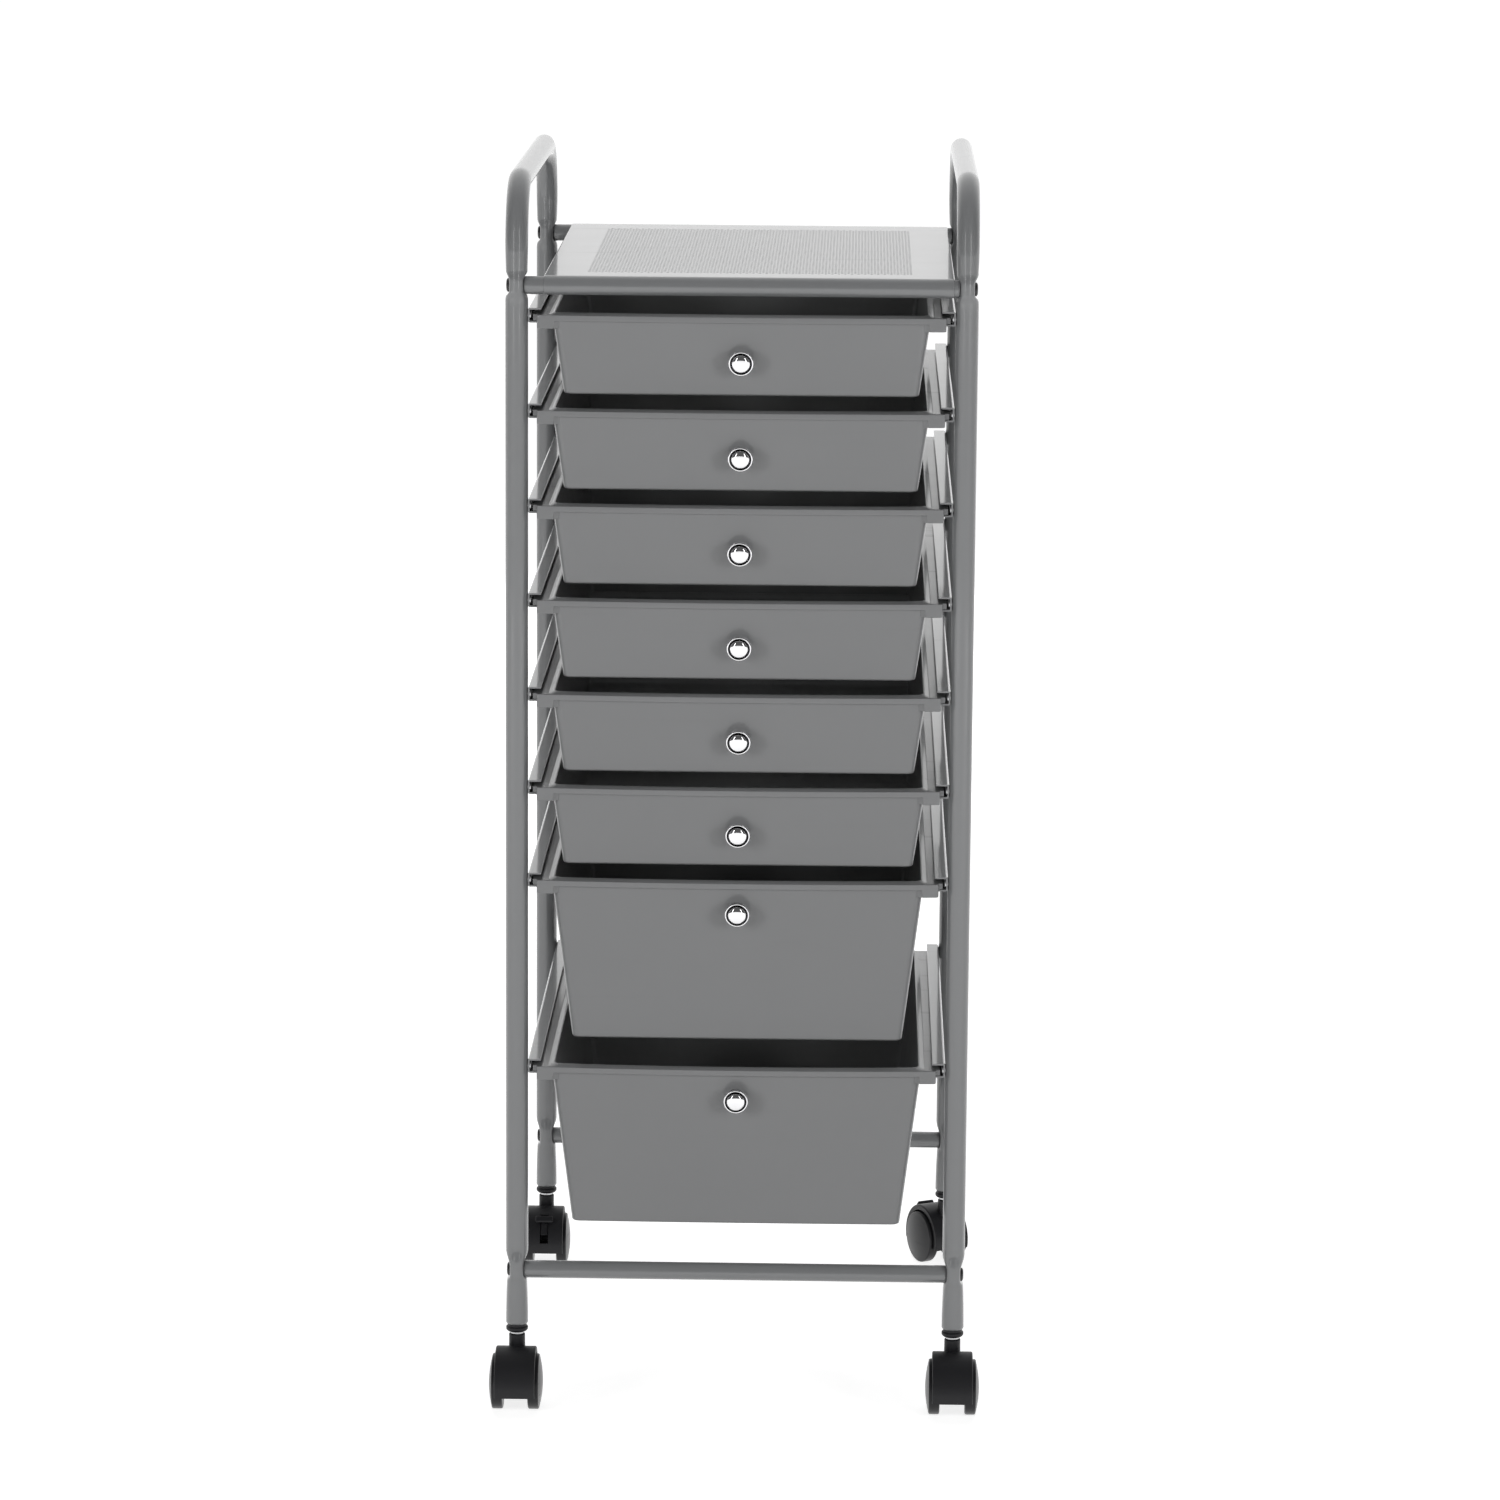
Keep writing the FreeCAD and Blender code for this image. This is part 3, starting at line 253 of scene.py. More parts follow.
def rounded(corners, radii, steps=6):
    """Outline through corners, each replaced by an arc.

    The arc's middle lies on the corner's bisector, and its points turn evenly from one tangent point to the
    other.
    """
    corners = np.asarray(corners, float)
    radii = np.asarray(radii, float)[:, None]
    back = unit(np.roll(corners, 1, axis=0) - corners)
    ahead = unit(np.roll(corners, -1, axis=0) - corners)
    half = np.arccos(np.clip((back * ahead).sum(axis=1, keepdims=True), -1.0, 1.0)) / 2
    half = np.clip(half, 1e-4, math.pi / 2 - 1e-4)
    middle = corners + unit(back + ahead) * radii / np.sin(half)
    start = corners + back * radii / np.tan(half) - middle
    end = corners + ahead * radii / np.tan(half) - middle
    turn = (math.pi - 2 * half)[:, :, None]
    part = np.linspace(0.0, 1.0, steps)[None, :, None]
    arc = np.sin((1 - part) * turn) * start[:, None] + np.sin(part * turn) * end[:, None]
    return (middle[:, None] + arc / np.sin(turn)).reshape(-1, 2)


def revolve(outline, columns=48, sockets=None):
    """Surface of revolution about Z: each outline row (radius, height) is carried round a full turn.

    sockets is a mask of rows whose circle becomes a hexagon, with its corners at that radius.
    """
    turn = np.linspace(0.0, 2 * math.pi, columns, endpoint=False)
    radius = outline[:, :1] * np.ones(columns)
    if sockets is not None:
        sixth = math.pi / 3
        flat = math.cos(sixth / 2) / np.cos((turn + sixth / 2) % sixth - sixth / 2)
        radius = np.where(np.asarray(sockets)[:, None], radius * flat, radius)
    height = outline[:, 1:] * np.ones(columns)
    return grid(np.stack([radius * np.cos(turn), radius * np.sin(turn), height], axis=-1), wrap_columns=True)


def turned(corners, radii, columns=48):
    """Surface of revolution through rounded corners (radius, height), with every size in millimetres."""
    return revolve(rounded(np.array(corners) * MM, np.array(radii) * MM), columns)


def filleted(start, corner, end, radius, steps):
    """Line from start to end round one corner: the start, an arc of so many points, and the end."""
    return rounded([start, corner, end], [0, radius, 0], steps)[steps - 1:2 * steps + 1]


def rounded_box(size, radius, steps=5):
    """Box with round edges: each corner of an inner box plus the radius times a direction of that eighth."""
    quarter = np.linspace(0.0, math.pi / 2, steps)
    turn = np.concatenate([quarter + k * math.pi / 2 for k in range(4)])
    lift = np.concatenate([quarter - math.pi / 2, quarter])[:, None]
    way = np.stack(np.broadcast_arrays(
        np.cos(lift) * np.cos(turn), np.cos(lift) * np.sin(turn), np.sin(lift)), -1)
    sign = np.stack(np.broadcast_arrays(
        np.repeat([1, -1, -1, 1], steps)[None], np.repeat([1, 1, -1, -1], steps)[None],
        np.repeat([-1, 1], steps)[:, None]), -1)
    size = np.asarray(size, float)
    shell = sign * (size / 2 - radius) + radius * way
    middle = np.zeros((1, len(turn), 3))
    low = middle - [0.0, 0.0, size[2] / 2]
    high = middle + [0.0, 0.0, size[2] / 2]
    return grid(np.concatenate([low, shell, high]), wrap_columns=True)


def aimed(patch, place, axis, side=(1.0, 0.0, 0.0)):
    """Patch turned so that its Z runs along axis and its X lies nearest to side, then moved to place."""
    points, faces = patch
    up = unit(axis)
    across = unit(np.asarray(side, float) - np.dot(side, up) * up)
    return points @ np.array([across, np.cross(up, across), up]) + np.asarray(place, float), faces


def moved(patch, place):
    """Patch moved to a place."""
    return patch[0] + np.asarray(place, float), patch[1]


def smooth(value):
    """Even S-curve from 0 to 1."""
    value = np.clip(value, 0.0, 1.0)
    return value * value * (3 - 2 * value)


def make_piece(name, patches, material, body, nodes, dark=None):
    """One closed mesh object from patches, riding on its body in place of its CAD nodes.

    dark is a mask of the points that lie in a groove, kept as an attribute on which the material paints shade into
    the groove.
    """
    sizes = [len(points) for points, faces in patches]
    starts = np.cumsum([0] + sizes[:-1])
    points = np.concatenate([points for points, faces in patches])
    quads = np.concatenate([patch[1] + start for patch, start in zip(patches, starts)])
    mesh = bpy.data.meshes.new(name)
    mesh.vertices.add(len(points))
    mesh.vertices.foreach_set("co", points.astype(np.float32).ravel())
    mesh.loops.add(quads.size)
    mesh.loops.foreach_set("vertex_index", quads.astype(np.int32).ravel())
    mesh.polygons.add(len(quads))
    mesh.polygons.foreach_set("loop_start", np.arange(0, quads.size, 4, dtype=np.int32))
    mesh.update(calc_edges=True)
    # The groove mask carries painted shade: the knob material paints these points dark
    if dark is not None:
        mark = mesh.attributes.new("groove", "FLOAT", "POINT")
        mark.data.foreach_set("value", np.asarray(dark, np.float32))
    work = bmesh.new()
    work.from_mesh(mesh)
    bmesh.ops.remove_doubles(work, verts=work.verts, dist=WELD)
    bmesh.ops.dissolve_degenerate(work, edges=work.edges, dist=WELD)
    bmesh.ops.recalc_face_normals(work, faces=work.faces)
    work.to_mesh(mesh)
    work.free()
    mesh.shade_smooth()
    mesh.set_sharp_from_angle(angle=CREASE)
    mesh.materials.append(material)
    piece = bpy.data.objects.new(name, mesh)
    bpy.context.scene.collection.objects.link(piece)
    even = piece.modifiers.new("Even normals", "WEIGHTED_NORMAL")
    even.keep_sharp = True
    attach(piece, body)
    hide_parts(*nodes)
    return piece


def finish_node(node, material):
    """Give a CAD node that stays in sight its material."""
    mesh = frame["nodes"][node].data
    mesh.materials.clear()
    mesh.materials.append(material)


def add_node(tree, kind, inputs=None, **settings):
    """Node with its settings made, and each input linked to a socket or set to a value."""
    node = tree.nodes.new(kind)
    for key, value in settings.items():
        setattr(node, key, value)
    for key, value in (inputs or {}).items():
        if isinstance(value, bpy.types.NodeSocket):
            tree.links.new(value, node.inputs[key])
        else:
            node.inputs[key].default_value = value
    return node


def new_group(name, inputs, output):
    """Empty shader node group with named float or colour inputs and one output."""
    tree = bpy.data.node_groups.new(name, "ShaderNodeTree")
    for label, kind in inputs.items():
        tree.interface.new_socket(label, in_out="INPUT", socket_type=kind)
    label, kind = output
    tree.interface.new_socket(label, in_out="OUTPUT", socket_type=kind)
    return tree, tree.nodes.new("NodeGroupInput").outputs, tree.nodes.new("NodeGroupOutput").inputs[label]


TONE_SCALE = 7.0
SMUDGE_SCALE = 22.0
WAVE_SCALE = 60.0
SCRATCH_TURN = (0.5, 0.3, 0.4)
SCRATCH_SCALE = (9.0, 60.0, 420.0)
SCRATCH_LOW = 0.66
SCRATCH_HIGH = 0.74


def tone_group():
    """Tone drift: a colour that lightens and darkens a little in broad soft patches."""
    known = bpy.data.node_groups.get("Tone drift")
    if known:
        return known
    tree, given, result = new_group(
        "Tone drift", {"Colour": "NodeSocketColor", "Amount": "NodeSocketFloat", "Scale": "NodeSocketFloat"},
        ("Colour", "NodeSocketColor"))
    place = add_node(tree, "ShaderNodeTexCoord").outputs["Object"]
    cloud = add_node(tree, "ShaderNodeTexNoise", {"Vector": place, "Scale": given["Scale"], "Detail": 3.0})
    centred = add_node(tree, "ShaderNodeMath", {0: cloud.outputs["Fac"], 1: 0.5}, operation="SUBTRACT")
    factor = add_node(
        tree, "ShaderNodeMath", {0: centred.outputs[0], 1: given["Amount"], 2: 1.0},
        operation="MULTIPLY_ADD")
    mixed = add_node(
        tree, "ShaderNodeVectorMath", {0: given["Colour"], 1: factor.outputs[0]}, operation="MULTIPLY")
    tree.links.new(mixed.outputs[0], result)
    return tree


def marks_group():
    """Handling marks: a roughness with broad smudges and thin slanting scratches on it."""
    known = bpy.data.node_groups.get("Handling marks")
    if known:
        return known
    tree, given, result = new_group(
        "Handling marks",
        {"Roughness": "NodeSocketFloat", "Smudges": "NodeSocketFloat", "Scratches": "NodeSocketFloat"},
        ("Roughness", "NodeSocketFloat"))
    place = add_node(tree, "ShaderNodeTexCoord").outputs["Object"]
    cloud = add_node(tree, "ShaderNodeTexNoise", {"Vector": place, "Scale": SMUDGE_SCALE, "Detail": 4.0})
    centred = add_node(tree, "ShaderNodeMath", {0: cloud.outputs["Fac"], 1: 0.5}, operation="SUBTRACT")
    smudged = add_node(
        tree, "ShaderNodeMath", {0: centred.outputs[0], 1: given["Smudges"], 2: given["Roughness"]},
        operation="MULTIPLY_ADD")
    laid = add_node(
        tree, "ShaderNodeMapping", {"Vector": place, "Rotation": SCRATCH_TURN, "Scale": SCRATCH_SCALE})
    streak = add_node(tree, "ShaderNodeTexNoise", {"Vector": laid.outputs[0], "Scale": 1.0, "Detail": 1.0})
    thin = add_node(
        tree, "ShaderNodeMapRange",
        {"Value": streak.outputs["Fac"], "From Min": SCRATCH_LOW, "From Max": SCRATCH_HIGH, "To Min": 0.0,
         "To Max": 1.0})
    scratched = add_node(
        tree, "ShaderNodeMath", {0: thin.outputs[0], 1: given["Scratches"], 2: smudged.outputs[0]},
        operation="MULTIPLY_ADD", use_clamp=True)
    tree.links.new(scratched.outputs[0], result)
    return tree


def grain_group():
    """Fine grain: the height of a fine pebbled surface over a slow wave."""
    known = bpy.data.node_groups.get("Fine grain")
    if known:
        return known
    tree, given, result = new_group(
        "Fine grain", {"Scale": "NodeSocketFloat", "Wave": "NodeSocketFloat"}, ("Height", "NodeSocketFloat"))
    place = add_node(tree, "ShaderNodeTexCoord").outputs["Object"]
    fine = add_node(tree, "ShaderNodeTexNoise", {"Vector": place, "Scale": given["Scale"], "Detail": 2.0})
    slow = add_node(tree, "ShaderNodeTexNoise", {"Vector": place, "Scale": WAVE_SCALE, "Detail": 1.0})
    both = add_node(
        tree, "ShaderNodeMath", {0: slow.outputs["Fac"], 1: given["Wave"], 2: fine.outputs["Fac"]},
        operation="MULTIPLY_ADD")
    tree.links.new(both.outputs[0], result)
    return tree


def finish_material(name, tint, roughness, drift, smudges, scratches, grain, wave, depth, **sockets):
    """Principled surface whose colour drifts, whose gloss is marked and whose skin is finely grained.

    drift is the share by which the colour changes, smudges and scratches add to the roughness, grain is the
    number of pebbles in a metre, wave the weight of the slow wave under them, and depth their height in
    millimetres.
    """
    known = bpy.data.materials.get(name)
    if known:
        return known
    material = bpy.data.materials.new(name)
    material.use_nodes = True
    material.diffuse_color = (*tint, 1.0)
    tree = material.node_tree
    surface = tree.nodes["Principled BSDF"]
    tone = add_node(tree, "ShaderNodeGroup", node_tree=tone_group(), name="Tone")
    tone.inputs["Colour"].default_value = (*tint, 1.0)
    tone.inputs["Amount"].default_value = drift
    tone.inputs["Scale"].default_value = TONE_SCALE
    tree.links.new(tone.outputs["Colour"], surface.inputs["Base Color"])
    marks = add_node(tree, "ShaderNodeGroup", node_tree=marks_group())
    marks.inputs["Roughness"].default_value = roughness
    marks.inputs["Smudges"].default_value = smudges
    marks.inputs["Scratches"].default_value = scratches
    tree.links.new(marks.outputs["Roughness"], surface.inputs["Roughness"])
    skin = add_node(tree, "ShaderNodeGroup", node_tree=grain_group())
    skin.inputs["Scale"].default_value = grain
    skin.inputs["Wave"].default_value = wave
    bump = add_node(
        tree, "ShaderNodeBump", {"Height": skin.outputs["Height"], "Strength": 1.0, "Distance": depth * MM})
    tree.links.new(bump.outputs["Normal"], surface.inputs["Normal"])
    for label, value in sockets.items():
        surface.inputs[label.replace("_", " ").title().replace("Ior", "IOR")].default_value = value
    return material


def paint(slot):
    """Grey gloss paint on steel: a satin colour under a clear gloss with a trace of orange peel."""
    finish = bpy.context.scene.cart_finish
    return finish_material(
        slot + "_gloss", tuple(getattr(finish, slot)), finish.paint_roughness, drift=0.06, smudges=0.06,
        scratches=0.04, grain=900.0, wave=2.5, depth=0.004, coat_weight=finish.paint_coat,
        coat_roughness=0.06)


def drawer_material():
    """Satin moulded plastic with a fine grain, soft smudges and faint scratches."""
    finish = bpy.context.scene.cart_finish
    return finish_material(
        "drawer_satin", tuple(finish.drawer_plastic), finish.drawer_roughness, drift=0.06, smudges=0.12,
        scratches=0.12, grain=1600.0, wave=1.0, depth=0.008, coat_weight=finish.drawer_coat,
        coat_roughness=0.12)


def chrome_material():
    """Polished chrome with hardly any marks, and painted shade in the groove round the crown, where the black
    plastic's colour is painted.
    """
    finish = bpy.context.scene.cart_finish
    known = bpy.data.materials.get("knob_polish")
    if known:
        return known
    material = finish_material(
        "knob_polish", tuple(finish.knob_chrome), finish.chrome_roughness, drift=0.02, smudges=0.03,
        scratches=0.02, grain=300.0, wave=0.5, depth=0.0006, metallic=1.0)
    tree = material.node_tree
    # Painted shade: the points in the groove get the black plastic's colour in place of the chrome
    groove = add_node(tree, "ShaderNodeAttribute", attribute_name="groove")
    tint = add_node(tree, "ShaderNodeMix", data_type="RGBA")
    tree.links.new(groove.outputs["Fac"], tint.inputs["Factor"])
    tint.inputs["A"].default_value = (*finish.knob_chrome, 1.0)
    tint.inputs["B"].default_value = (*finish.black_plastic, 1.0)
    tree.links.new(tint.outputs["Result"], tree.nodes["Tone"].inputs["Colour"])
    return material


def steel_material():
    """Plated steel with turning marks and a dull shine."""
    finish = bpy.context.scene.cart_finish
    return finish_material(
        "plated_steel", tuple(finish.bare_steel), finish.steel_roughness, drift=0.1, smudges=0.15,
        scratches=0.1, grain=1200.0, wave=1.0, depth=0.003, metallic=1.0)


def screw_material():
    """Blackened steel screw heads."""
    finish = bpy.context.scene.cart_finish
    return finish_material(
        "blackened_screw", tuple(finish.black_screw), finish.steel_roughness, drift=0.15, smudges=0.1,
        scratches=0.05, grain=1500.0, wave=1.0, depth=0.004)


def black_material():
    """Satin black plastic of hoods, plugs and levers."""
    finish = bpy.context.scene.cart_finish
    return finish_material(
        "black_satin", tuple(finish.black_plastic), finish.black_roughness, drift=0.15, smudges=0.15,
        scratches=0.1, grain=1500.0, wave=1.0, depth=0.01, specular_ior_level=finish.black_shine)


def wheel_material():
    """Smooth black plastic of the wheels."""
    finish = bpy.context.scene.cart_finish
    return finish_material(
        "wheel_smooth", tuple(finish.wheel_plastic), finish.wheel_roughness, drift=0.15, smudges=0.15,
        scratches=0.1, grain=1100.0, wave=1.0, depth=0.006, specular_ior_level=finish.black_shine)


PINCH_REACH = 24.0 * MM
PINCH_FLAT = 4.0 * MM
FOOT_EASE = 0.8 * MM
FOOT_SHARE = 0.94


def leg_stations(shape):
    """Heights up one leg, close together at the rods, and how far each is pinched, from 0 to 1.

    A pinch holds its depth over a flat at the rod and falls off over a run above it and another below it.
    Two pinches at a rod, a short deep one and a long shallow one, join by their greater value.
    """
    top = HANDLE_Z - shape.bend_radius
    low_end = ROD_LEVELS["bottom"] + PINCH_REACH
    high_start = ROD_LEVELS["top"] - PINCH_REACH
    heights = np.concatenate([
        np.linspace(TUBE_FOOT + FOOT_EASE, low_end, 44, endpoint=False),
        np.linspace(low_end, high_start, 16, endpoint=False),
        np.linspace(high_start, top, 36),
    ])
    pinch = np.zeros_like(heights)
    foot_run = ROD_LEVELS["bottom"] - TUBE_FOOT
    # Each pinch as its rod's level, half its flat, its runs above and below, and its depth
    for level, flat, above, below, depth in (
        ("bottom", PINCH_FLAT, 14.0 * MM, 5.0 * MM, 1.0),
        ("bottom", 0.0, 14.0 * MM, foot_run, 0.6),
        ("top", PINCH_FLAT, 9.0 * MM, 6.0 * MM, 1.0),
        ("top", PINCH_FLAT, 34.0 * MM, 10.0 * MM, 0.42),
    ):
        away = heights - ROD_LEVELS[level]
        part = (np.abs(away) - flat) / np.where(away > 0, above, below)
        # The long run down to the foot is even, and the other runs are S-shaped
        even = (away < 0) & (below == foot_run)
        fall = np.where(even, np.clip(part, 0.0, 1.0), smooth(part))
        pinch = np.maximum(pinch, depth * (1 - fall))
    return heights, pinch


def side_tube(shape, columns=56):
    """Bent tube in the plane x = 0: up the front leg, over the handle and down the rear leg.

    Each station's ring is the tube's circle, cut down across X by a soft minimum with the pinch's half width
    and stretched in the tube's plane where it is pinched.
    """
    heights, pinch = leg_stations(shape)
    bend = shape.bend_radius
    inner_y = POST_Y - bend
    inner_z = HANDLE_Z - bend
    swing = np.linspace(0.0, math.pi / 2, 19)[1:]
    zero = np.zeros_like(heights)
    flat = np.linspace(-inner_y, inner_y, 16)[1:-1]
    front_y = np.concatenate([zero - POST_Y, -inner_y - bend * np.cos(swing), flat])
    front_z = np.concatenate([heights, inner_z + bend * np.sin(swing), 0 * flat + HANDLE_Z])
    front_ny = np.concatenate([zero - 1, -np.cos(swing), 0 * flat])
    front_nz = np.concatenate([zero, np.sin(swing), 0 * flat + 1])
    turns = len(flat)
    y = np.concatenate([front_y, -front_y[:-turns][::-1]])
    z = np.concatenate([front_z, front_z[:-turns][::-1]])
    ny = np.concatenate([front_ny, -front_ny[:-turns][::-1]])
    nz = np.concatenate([front_nz, front_nz[:-turns][::-1]])
    squeeze = np.concatenate([pinch, 0 * swing, 0 * flat])
    squeeze = np.concatenate([squeeze, squeeze[:-turns][::-1]])
    turn = np.linspace(0.0, 2 * math.pi, columns, endpoint=False)
    soft = shape.pinch_soft
    limit = TUBE_R + soft + (POST_X - ROD_HALF - TUBE_R - soft) * squeeze[:, None]
    width = TUBE_R * np.abs(np.cos(turn))[None]
    near = np.maximum(soft - np.abs(width - limit), 0.0) / soft
    across = np.sign(np.cos(turn)) * (np.minimum(width, limit) - near * near * soft / 4)
    out = TUBE_R * np.sin(turn) * (1 + (TUBE_BULGE / TUBE_R - 1) * squeeze[:, None])
    rings = np.stack([across, y[:, None] + ny[:, None] * out, z[:, None] + nz[:, None] * out], axis=-1)
    ends = []
    for ring, foot_y in ((rings[:1], -POST_Y), (rings[-1:], POST_Y)):
        middle = np.array([0.0, foot_y, TUBE_FOOT])
        low = ring * [1, 1, 0] + [0, 0, TUBE_FOOT]
        ends.append([0 * ring + middle, middle + (low - middle) * FOOT_SHARE])
    return grid(np.concatenate(ends[0] + [rings] + ends[1][::-1]), wrap_columns=True)


class CART_OT_side_frames(bpy.types.Operator):
    """Make both bent tube side frames, flattened where the rods meet them"""
    bl_idname = "cart.side_frames"
    bl_label = "Side frames"

    def execute(self, context):
        tube = side_tube(context.scene.cart_shape)
        for side, sign in SIDES.items():
            make_piece(
                "side_tube_" + side, [moved(tube, (sign * POST_X, 0, 0))], paint("frame_paint"), "frame",
                ["side_frame_" + side])
        return {"FINISHED"}


class CART_OT_cross_rods(bpy.types.Operator):
    """Make the four cross rods with rounded ends"""
    bl_idname = "cart.cross_rods"
    bl_label = "Cross rods"

    def execute(self, context):
        ease = context.scene.cart_shape.rod_round
        outline = rounded(
            [(0, -ROD_HALF), (ROD_R, -ROD_HALF), (ROD_R, ROD_HALF), (0, ROD_HALF)], [0, ease, ease, 0])
        for level, height in ROD_LEVELS.items():
            for end, way in ENDS.items():
                rod = aimed(revolve(outline), (0, way * POST_Y, height), (1, 0, 0), (0, 1, 0))
                make_piece(
                    "cross_rod_%s_%s" % (level, end), [rod], paint("frame_paint"), "frame",
                    ["%s_rod_%s" % (level, end)])
        return {"FINISHED"}


EDGE_EASE = 0.9 * MM
EDGE_DROP = 0.5 * MM


def perforated_sheet(shape):
    """Curled sheet with a staggered field of six-sided holes.

    The sheet's outer and inner faces are a grid of cross lines, half a pitch apart, by stations from the
    front curl's tip over the flat to the rear curl's tip. A hole's cell spans two half pitches and one row:
    six quads join its six grid points to a hexagon on each face, and six more are the hole's wall. The outer
    face falls off in a quarter round at both sides.
    """
    pitch = shape.hole_pitch
    row_gap = pitch * math.sin(math.pi / 3)
    wide = PANEL_HIGH[0] - PANEL_LOW[0] - 2 * shape.hole_margin_side
    long = 2 * POST_Y - shape.hole_margin_front - shape.hole_margin_rear
    cells = int(wide / pitch)
    rows = int(long / row_gap)
    middle_x = (PANEL_LOW[0] + PANEL_HIGH[0]) / 2
    middle_y = (shape.hole_margin_front - shape.hole_margin_rear) / 2
    field_x = middle_x + (np.arange(2 * cells + 1) - cells) * pitch / 2
    field_y = middle_y + (np.arange(rows + 1) - rows / 2) * row_gap
    edge = np.linspace(0.0, 1.0, 5) * EDGE_EASE
    lead = len(edge)
    x = np.concatenate([PANEL_LOW[0] + edge, field_x, PANEL_HIGH[0] - edge[::-1]])
    inset = np.minimum(x - PANEL_LOW[0], PANEL_HIGH[0] - x)
    short = np.clip(1 - inset / EDGE_EASE, 0.0, 1.0)
    eased = EDGE_DROP * (1 - np.sqrt(1 - short * short))
    rod_z = ROD_LEVELS["top"]
    tip = math.acos((PANEL_LOW[2] - rod_z) / PANEL_OUTER)
    curl = np.linspace(tip, 0.0, 18)
    first = len(curl)
    faces = []
    for radius in (PANEL_OUTER - eased, PANEL_OUTER - shape.sheet + 0 * eased):
        reach = np.sin(curl)[:, None] * radius
        bow = rod_z + np.cos(curl)[:, None] * radius
        y = np.concatenate([-POST_Y - reach, field_y[:, None] + 0 * radius, (POST_Y + reach)[::-1]])
        z = np.concatenate([bow, 0 * field_y[:, None] + rod_z + radius, bow[::-1]])
        faces.append(np.stack(np.broadcast_arrays(x[None], y, z), axis=-1))
    stations, lines = faces[0].shape[:2]
    outer = np.arange(stations * lines).reshape(stations, lines)
    inner = outer + outer.size
    plain = np.ones((stations - 1, lines - 1), bool)
    plain[first:first + rows, lead:lead + 2 * cells] = False
    plain[first + 1:first + rows:2, [lead, lead + 2 * cells - 1]] = True
    i, j = np.nonzero(plain)
    quads = [np.stack([side[i, j], side[i, j + 1], side[i + 1, j + 1], side[i + 1, j]], axis=-1)
             for side in (outer, inner)]
    ring_out = np.concatenate([outer[:, 0], outer[-1, 1:], outer[-2::-1, -1], outer[0, -2::-1]])
    ring_in = ring_out + outer.size
    quads.append(np.stack([ring_out[:-1], ring_out[1:], ring_in[1:], ring_in[:-1]], axis=-1))

    even = np.stack(np.meshgrid(np.arange(0, rows, 2), 2 * np.arange(cells), indexing="ij"), -1)
    odd = np.stack(np.meshgrid(np.arange(1, rows, 2), 2 * np.arange(cells - 1) + 1, indexing="ij"), -1)
    start = np.concatenate([even.reshape(-1, 2), odd.reshape(-1, 2)])
    i = start[:, :1] + first + np.array([0, 0, 0, 1, 1, 1])
    j = start[:, 1:] + lead + np.array([0, 1, 2, 2, 1, 0])
    turn = np.radians([-150.0, -90.0, -30.0, 30.0, 90.0, 150.0])
    hole_x = x[start[:, 1] + lead + 1][:, None] + shape.hole_width / 2 * np.cos(turn)
    hole_y = (field_y[start[:, 0]] + row_gap / 2)[:, None] + shape.hole_width / 2 * np.sin(turn)
    holes = []
    marks = []
    for number, radius in enumerate((PANEL_OUTER, PANEL_OUTER - shape.sheet)):
        holes.append(np.stack([hole_x, hole_y, 0 * hole_x + rod_z + radius], axis=-1).reshape(-1, 3))
        marks.append(2 * outer.size + number * hole_x.size + np.arange(hole_x.size).reshape(hole_x.shape))
        cell = (outer, inner)[number][i, j]
        rim = marks[number]
        quads.append(np.stack(
            [cell, np.roll(cell, -1, axis=1), np.roll(rim, -1, axis=1), rim], axis=-1).reshape(-1, 4))
    wall = [marks[0], np.roll(marks[0], -1, axis=1), np.roll(marks[1], -1, axis=1), marks[1]]
    quads.append(np.stack(wall, axis=-1).reshape(-1, 4))
    points = np.concatenate([faces[0].reshape(-1, 3), faces[1].reshape(-1, 3)] + holes)
    return points, np.concatenate(quads)


class CART_OT_top_panel(bpy.types.Operator):
    """Make the perforated sheet top that curls round the two top rods"""
    bl_idname = "cart.top_panel"
    bl_label = "Sheet top"

    def execute(self, context):
        make_piece(
            "perforated_top", [perforated_sheet(context.scene.cart_shape)], paint("panel_paint"), "frame",
            ["top_panel"])
        return {"FINISHED"}


def rail_strip(shape):
    """Channel along Y that opens towards +X, its web's outer face at x = 0 and its foot at z = 0.

    Two chains of points run round the outside and the inside of the bent sheet. Both are carried along Y,
    and the two ends are closed by quads from chain to chain.
    """
    sheet = shape.rail_sheet
    top = shape.rail_top
    low = shape.rail_bottom
    tall = RAIL_TALL
    tip = 0.5 * MM
    bend = 1.6 * MM
    bend_inside = 0.5 * MM
    outer = rounded(
        [(top, tall - sheet / 2), (top, tall), (0, tall), (0, 0), (low, 0), (low, sheet / 2)],
        [0, tip, bend, bend, tip, 0])
    inner = rounded(
        [(top, tall - sheet / 2), (top, tall - sheet), (sheet, tall - sheet), (sheet, sheet), (low, sheet),
         (low, sheet / 2)],
        [0, tip, bend_inside, bend_inside, tip, 0])
    chain = np.concatenate([outer, inner[::-1]])
    y = np.array([RAIL_LOW[1], RAIL_HIGH[1]])[:, None]
    strip = np.stack(np.broadcast_arrays(chain[None, :, 0], y, chain[None, :, 1]), axis=-1)
    patches = [grid(strip, wrap_columns=True)]
    for end in y[:, 0]:
        cap = np.stack([outer, inner])
        patches.append(grid(np.stack([cap[..., 0], 0 * cap[..., 0] + end, cap[..., 1]], axis=-1)))
    return patches


